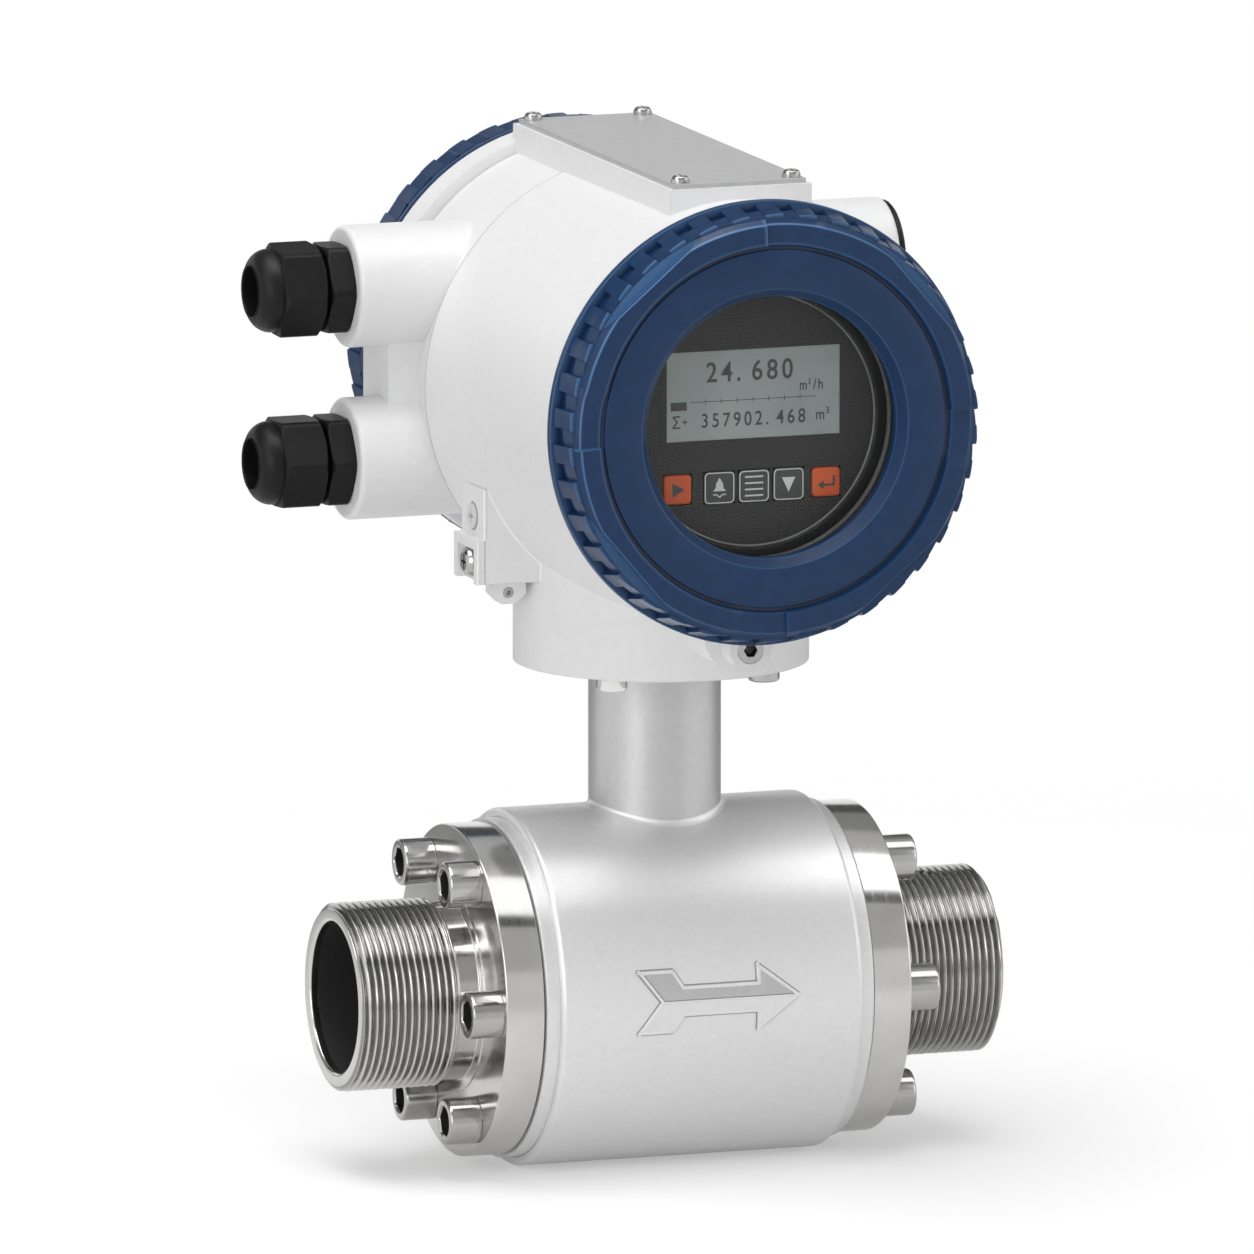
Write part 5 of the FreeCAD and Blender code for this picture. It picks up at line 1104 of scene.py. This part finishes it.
def bar_strip(start, end, wide):
    """A straight bar."""
    return (*stroke([start, end], wide), False)


def mirrored(half_wide, level):
    """A strip that reaches as far to the left as to the right at each level."""
    return np.stack([-half_wide, level], axis=-1), np.stack([half_wide, level], axis=-1), False


def bell_strips():
    """A bell: its half width is a quarter ellipse at the crown, then straight, and flares at the mouth by a
    square, with a round knob above and a line with one dip below."""
    height = np.linspace(0.0, 1.0, 24)
    crown = np.clip(height / 0.4, 0.0, 1.0)
    wide = 1.15 * np.sqrt(crown * (2.0 - crown)) + 1.05 * np.clip((height - 0.5) / 0.5, 0.0, 1.0) ** 2
    turn = np.linspace(0.0, math.pi, 9)
    across = np.linspace(-2.1, 2.1, 33)
    wave = np.stack([across, -2.1 - 0.8 * np.exp(-(across / 0.6) ** 2)], axis=-1)
    bell = mirrored(wide, 2.3 - 3.3 * height)
    knob = mirrored(0.48 * np.sin(turn), 2.5 + 0.5 * np.cos(turn))
    return [bell, knob, (*stroke(wave, 0.36), False)]


def key_caps():
    """Five keys: a round-cornered cap whose outline draws in at its front edge, on a wider wing behind the
    panel, both closed on their middles."""
    cap = [(KEY_BACK, SHUT), (KEY_BACK, 0.0), (KEY_FACE - 0.45, 0.0), (KEY_FACE - 0.18, 0.08),
           (KEY_FACE - 0.04, 0.25), (KEY_FACE, 0.5), (KEY_FACE, SHUT)]
    wing = [(KEY_BACK, SHUT), (KEY_BACK, 0.0), (WING_FRONT, 0.0), (WING_FRONT, SHUT)]
    for key, across in KEYS.items():
        slot, half = ("orange_key", ORANGE_HALF) if key in ORANGE_KEYS else ("dark_key", DARK_HALF)
        skins = [key_skin(cap, across, half, half, KEY_CORNER),
                 key_skin(wing, across, half, half + WING_TALL, WING_CORNER)]
        piece(key + "_key_cap", [(skin, False, True) for skin in skins], key + "_key", slot,
              stands_for=[key + "_key"], crease=35.0)


def key_skin(rows, across, half_wide, half_tall, corner):
    """Rows of one outline from back to front: each is drawn in by its own length, and a row drawn in by a
    full millimetre closes on the middle."""
    skin = []
    for ahead, inset in rows:
        outline = rounded_square(half_wide - inset, half_tall - inset, max(corner - inset, LEAST_CORNER))
        outline = outline * (inset < SHUT) + (across, KEY_ROW)
        skin.append(np.insert(outline, 1, -ahead, axis=1))
    return np.stack(skin)


def key_marks():
    """A mark about each key's middle: triangle, bell, four lines, triangle downwards, bent arrow back."""
    border = square_ring(4.9, 4.9, 1.5, 0.36)
    lines = [bar_strip((-3.0, rise), (3.0, rise), 0.5) for rise in (-2.95, -0.98, 0.98, 2.95)]
    marks = {
        "escape": [arrow_head((-1.7, -2.3), (-1.7, 2.3), (2.3, 0.0))],
        "alarm": [border] + bell_strips(),
        "menu": [border] + lines,
        "down": [border, arrow_head((-2.2, 2.2), (2.2, 2.2), (0.0, -2.4))],
        "enter": [bar_strip((-1.3, -0.9), (2.7, -0.9), 0.7), bar_strip((2.4, -0.7), (2.4, 2.0), 0.7),
                  arrow_head((-0.9, -2.3), (-0.9, 0.5), (-3.0, -0.9))],
    }
    for key, strips in marks.items():
        slot, ink = ("panel_plastic", DISPLAY_INK) if key in ORANGE_KEYS else ("white_plastic", PALE_INK)
        inlay(key + "_key_mark", strips, KEY_FACE, key + "_key", slot, ink, INK_LIFT, (KEYS[key], KEY_ROW))


def figures(name, words, left, rise, tall, pitch, squeeze):
    """Plain figures on the display, each on its own step of the pitch: the letter's flat outline, scaled to
    its height and squeezed in width, stood up to face the front."""
    sheet = bmesh.new()
    for place, letter in enumerate(words):
        outline = bpy.data.curves.new(name, "FONT")
        outline.body = letter
        outline.size = tall / CAPITAL_SHARE
        outline.extrude = FIGURE_DEEP
        outline.offset = BOLD_SHARE * tall
        maker = bpy.data.objects.new(name + "_outline", outline)
        bpy.context.scene.collection.objects.link(maker)
        bpy.context.view_layer.update()
        flat = bpy.data.meshes.new_from_object(maker.evaluated_get(bpy.context.evaluated_depsgraph_get()))
        bpy.data.objects.remove(maker)
        bpy.data.curves.remove(outline)
        spots = np.array([spot.co for spot in flat.vertices], np.float32)
        across = left + place * pitch + spots[:, 0] * squeeze
        behind = -LCD_FACE - FIGURE_DEEP - spots[:, 2]
        stood = np.stack([across, behind, LCD_LOW + rise + spots[:, 1]], axis=-1)
        flat.vertices.foreach_set("co", np.ravel(stood * MM))
        sheet.from_mesh(flat)
        bpy.data.meshes.remove(flat)
    bmesh.ops.remove_doubles(sheet, verts=sheet.verts, dist=WELD)
    mesh = bpy.data.meshes.new(name)
    sheet.to_mesh(mesh)
    sheet.free()
    place_mesh(name, mesh, "meter", DISPLAY_INK, ())


def display():
    """The reading on the display: flow with its unit, a scale with a filled start, and the total, counted
    from the middle of the display's lower edge."""
    for name, words in DISPLAY_WORDS.items():
        figures(name, *words)
    strips = [bar_strip((-20.9, SCALE_LEVEL), (20.5, SCALE_LEVEL), 0.22),
              bar_strip((-27.2, SCALE_LEVEL - 1.1), (-21.9, SCALE_LEVEL - 1.1), 2.7)]
    strips += [bar_strip((tick, SCALE_LEVEL - TICK_HALF), (tick, SCALE_LEVEL + TICK_HALF), 0.24)
               for tick in TICK_FIRST + TICK_STEP * np.arange(TICKS)]
    level = TOTAL_LEVEL
    sum_sign = [(-24.1, level + 3.5), (-26.5, level + 3.5), (-25.0, level + 1.8), (-26.5, level),
                (-24.0, level)]
    strips += [bar_strip(start, end, 0.5) for start, end in zip(sum_sign, sum_sign[1:])]
    strips += [bar_strip((-23.4, level + 1.7), (-21.6, level + 1.7), 0.36),
               bar_strip((-22.5, level + 0.8), (-22.5, level + 2.6), 0.36)]
    inlay("display_scale", strips, LCD_FACE, "meter", "panel_plastic", DISPLAY_INK, INK_LIFT, (0.0, LCD_LOW))
    border = [square_ring(30.4, 16.2, 1.6, 0.3)]
    inlay("display_border", border, PANEL_FACE, "meter", "panel_plastic", None, 0.12, (0.0, LCD_LOW + 14.0))


def display_surround():
    """The black ring round the panel and the grey bead on its bevelled inner edge, a painted highlight along
    that edge, each a closed section carried round the head's axis."""
    back = PANEL_FACE - SINK
    foot = PANEL_FACE + SURROUND_FOOT
    front = PANEL_FACE + SURROUND_TALL
    slope = SURROUND_INNER + SURROUND_BEVEL
    ring = eased([(back, SURROUND_INNER, 0.0), (foot, SURROUND_INNER, 0.05), (front, slope, 0.3),
                  (front, SURROUND_OUTER, 0.3), (back, SURROUND_OUTER, 0.0)])
    piece("display_surround", head_ring(ring, -1), "meter", "black_plastic")
    turn = turns(BEAD_SIDES)
    middle = foot + BEAD_SHARE * (front - foot)
    radius = SURROUND_INNER + BEAD_SHARE * SURROUND_BEVEL
    bead = np.stack([middle + SURROUND_BEAD * np.cos(turn), radius + SURROUND_BEAD * np.sin(turn)], axis=-1)
    # Painted highlight: a grey bead along the bevel's inner edge
    piece("surround_bead", head_ring(bead, -1), "meter", "black_plastic", KEEPER_GREY, crease=60.0)


# Flow arrow on the drum


def drum_strips(corners, shift, wide, radius, closed):
    """Thin strips along an outline on the drum's front: each side is shifted to its right, and every point
    lies where a line along Y meets the cylinder of that radius."""
    ends = np.roll(corners, -1, axis=0) if closed else corners[1:]
    grids = []
    for start, end in zip(corners, ends):
        way = (end - start) / np.linalg.norm(end - start)
        path = np.linspace(start, end, 9) + shift * np.array([way[1], -way[0]])
        grid = inlay_grid(*stroke(path, wide), radius, STRIP_RISE, False)
        grid[..., 1] = -np.sqrt(grid[..., 1] ** 2 - grid[..., 2] ** 2)
        grids.append((grid, False, True))
    return grids


def drum_sheet(low, high, radius):
    """A thin closed sheet on the drum's front between two lines of the same number of corners: straight from
    one line to the other, front and back, every point where a line along Y meets the cylinder."""
    steps = np.linspace(0, len(low) - 1, 8 * len(low) - 7)
    lines = [np.stack([np.interp(steps, np.arange(len(low)), line[:, k]) for k in (0, 1)], axis=-1)
             for line in (low, high)]
    share = np.concatenate([np.linspace(0, 1, 7), np.linspace(1, 0, 7)])[None, :, None]
    out = radius + np.repeat([STRIP_RISE, -SINK], 7)[None, :]
    flat = lines[0][:, None] * (1 - share) + lines[1][:, None] * share
    return capped(np.stack([flat[..., 0], -np.sqrt(out ** 2 - flat[..., 1] ** 2), flat[..., 1]], axis=-1))


def flow_arrow():
    """Painted highlights along the edges on top of the raised arrow, painted shade on its upper half between
    them, and painted shade in the corner where it stands on the drum."""
    level = np.array([0.0, ARROW_LEVEL])
    lower_side = ARROW_SIDE[::-1] * (1.0, -1.0)
    outline = np.concatenate([ARROW_SIDE, [(ARROW_TIP, 0.0)], lower_side, [(ARROW_NOTCH, 0.0)]]) + level
    top = DRUM_RADIUS + ARROW_RISE
    sheet = drum_sheet(SHADED_HALF_LOW + level, SHADED_HALF_HIGH + level, top)
    piece("arrow_shaded_half", [(sheet, False, True)], "meter", "silver_paint", ARROW_SHADE)
    edges = drum_strips(outline, 0.45, 0.8, top, True)
    edges += drum_strips(MIDDLE_LINE + level, 0.0, 0.4, top, False)
    piece("arrow_edge_highlights", edges, "meter", "silver_paint", ARROW_EDGE_HIGHLIGHT)
    shade_lines = drum_strips(outline, -0.22, 0.4, DRUM_RADIUS, True)
    piece("arrow_corner_shade", shade_lines, "meter", "silver_paint", CORNER_SHADE)


# Stage, light and camera


def seen_rays(tree):
    """One for rays from the camera or through glass, and one for these and reflections, nought for others."""
    ray = step(tree, "LightPath", {}).outputs
    shown = maths(tree, "MAXIMUM", ray["Is Camera Ray"], ray["Is Transmission Ray"])
    return shown, maths(tree, "MAXIMUM", shown, ray["Is Glossy Ray"])


def backdrop_world():
    """White to the camera, reflections and glass, and a softer level for the light on the object."""
    world = bpy.data.worlds.new("studio")
    bpy.context.scene.world = world
    world.use_nodes = True
    tree = world.node_tree
    soft = tree.nodes["Background"]
    soft.inputs["Color"].default_value = WHITE
    soft.inputs["Strength"].default_value = WORLD_LEVEL
    white = step(tree, "Background", {"Color": WHITE, "Strength": 1.0})
    mixed = step(tree, "MixShader", {0: seen_rays(tree)[1], 1: soft.outputs[0], 2: white.outputs[0]})
    tree.links.new(mixed.outputs[0], tree.nodes["World Output"].inputs["Surface"])


def floor_finish():
    """Pale floor: its own shade keeps the shadow, a glow for the camera and reflections brings it to white,
    and further out it fades into the white background."""
    made, tree, shader = new_finish("pale_floor")
    shader.inputs["Base Color"].default_value = (*grey(0.8), 1.0)
    shader.inputs["Roughness"].default_value = 0.9
    shader.inputs["Specular IOR Level"].default_value = 0.0
    shader.inputs["Emission Color"].default_value = WHITE
    shown, seen = seen_rays(tree)
    glow = step(tree, "MapRange", {"Value": shown, "To Min": GLOW_REFLECTED, "To Max": GLOW_SEEN})
    tree.links.new(maths(tree, "MULTIPLY", seen, glow.outputs[0]), shader.inputs["Emission Strength"])
    far = step(tree, "VectorMath", {0: coordinates(tree)}, operation="LENGTH").outputs["Value"]
    fade = step(tree, "MapRange", {"Value": far, "From Min": FADE_START, "From Max": FADE_END})
    fade = maths(tree, "MULTIPLY", fade.outputs[0], seen)
    clear = step(tree, "BsdfTransparent", {})
    mixed = step(tree, "MixShader", {0: fade, 1: shader.outputs[0], 2: clear.outputs[0]})
    tree.links.new(mixed.outputs[0], tree.nodes["Material Output"].inputs["Surface"])
    return made


def sheet_mesh(name, corners, finish):
    """A flat four-cornered sheet in metres that belongs to the stage."""
    mesh = bpy.data.meshes.new(name)
    mesh.from_pydata(corners, [], [(0, 1, 2, 3)])
    mesh.materials.append(finish)
    made = bpy.data.objects.new(name, mesh)
    bpy.context.scene.collection.objects.link(made)
    return made


def card(name, corners, shade):
    """A glowing sheet that only reflections see."""
    made, tree = new_finish(name)[:2]
    glow = step(tree, "Emission", {"Color": (*grey(shade), 1.0), "Strength": 1.0})
    tree.links.new(glow.outputs[0], tree.nodes["Material Output"].inputs["Surface"])
    sheet = sheet_mesh(name, corners, made)
    sheet.visible_camera = False
    sheet.visible_diffuse = False
    sheet.visible_transmission = False
    sheet.visible_shadow = False


def reflector(name, low, high, distance, shade):
    """A long card parallel to the pipe between two directions, in degrees from the front over the top."""
    turn = np.radians([low, high])
    ahead = -distance * np.cos(turn)
    up = distance * np.sin(turn)
    card(name, [(-CARD_HALF, ahead[0], up[0]), (CARD_HALF, ahead[0], up[0]), (CARD_HALF, ahead[1], up[1]),
                (-CARD_HALF, ahead[1], up[1])], shade)


def upright(name, start, end, low, high, distance, shade):
    """An upright card between two directions, counted in degrees from the front towards the outlet side."""
    turn = np.radians([start, end])
    across = distance * np.sin(turn)
    ahead = -distance * np.cos(turn)
    card(name, [(across[0], ahead[0], low), (across[1], ahead[1], low), (across[1], ahead[1], high),
                (across[0], ahead[0], high)], shade)


def level_card(name, left, right, front, back, height, shade):
    """A small level card."""
    card(name, [(left, front, height), (right, front, height), (right, back, height), (left, back, height)],
         shade)


def lamp(name, place, aim, wide, tall, power):
    """A soft rectangular lamp."""
    light = bpy.data.lights.new(name, "AREA")
    light.shape = "RECTANGLE"
    light.size = wide
    light.size_y = tall
    light.energy = power
    made = bpy.data.objects.new(name, light)
    made.location = place
    made.rotation_euler = (Vector(aim) - Vector(place)).to_track_quat("-Z", "Y").to_euler()
    bpy.context.scene.collection.objects.link(made)


def studio():
    """Background, floor under the drum, cards and lamps."""
    backdrop_world()
    low = -DRUM_RADIUS * MM
    floor = [(FLOOR_HALF * x, FLOOR_HALF * y, low) for x, y in ((-1, -1), (1, -1), (1, 1), (-1, 1))]
    sheet_mesh("floor", floor, floor_finish())
    for name, sizes in LONG_CARDS.items():
        reflector(name, *sizes)
    for name, sizes in UPRIGHT_CARDS.items():
        upright(name, *sizes)
    for name, sizes in LEVEL_CARDS.items():
        level_card(name, *sizes)
    for name, sizes in LAMPS.items():
        lamp(name, *sizes)


def camera():
    """The photograph's view: a long lens from far off, left of the front and a little above."""
    aim = Vector(CAMERA_AIM) * MM
    level = math.cos(CAMERA_RISE)
    back = Vector((math.sin(CAMERA_TURN) * level, -math.cos(CAMERA_TURN) * level, math.sin(CAMERA_RISE)))
    lens = bpy.data.cameras.new("camera")
    lens.sensor_width = SENSOR
    lens.lens = PIXELS_A_METRE * CAMERA_BACK / PICTURE_SIDE * SENSOR
    made = bpy.data.objects.new("camera", lens)
    made.location = aim + back * CAMERA_BACK
    made.rotation_euler = (-back).to_track_quat("-Z", "Y").to_euler()
    bpy.context.scene.collection.objects.link(made)
    bpy.context.scene.camera = made


pipe_end("inlet", -1)
pipe_end("outlet", 1)
flange_screws()
neck_screws()
lock_socket_skin()
casting_seam()
gusset_edges()
seal_joint()
screw_covers()
gland_body("upper", UPPER_BOSS)
gland_body("lower", LOWER_BOSS)
gland_nut("upper", UPPER_BOSS, UPPER_TURN)
gland_nut("lower", LOWER_BOSS, LOWER_TURN)
neck_joint()
flow_arrow()
display()
display_surround()
key_caps()
key_marks()
studio()
camera()
bpy.context.scene.view_settings.view_transform = "Standard"
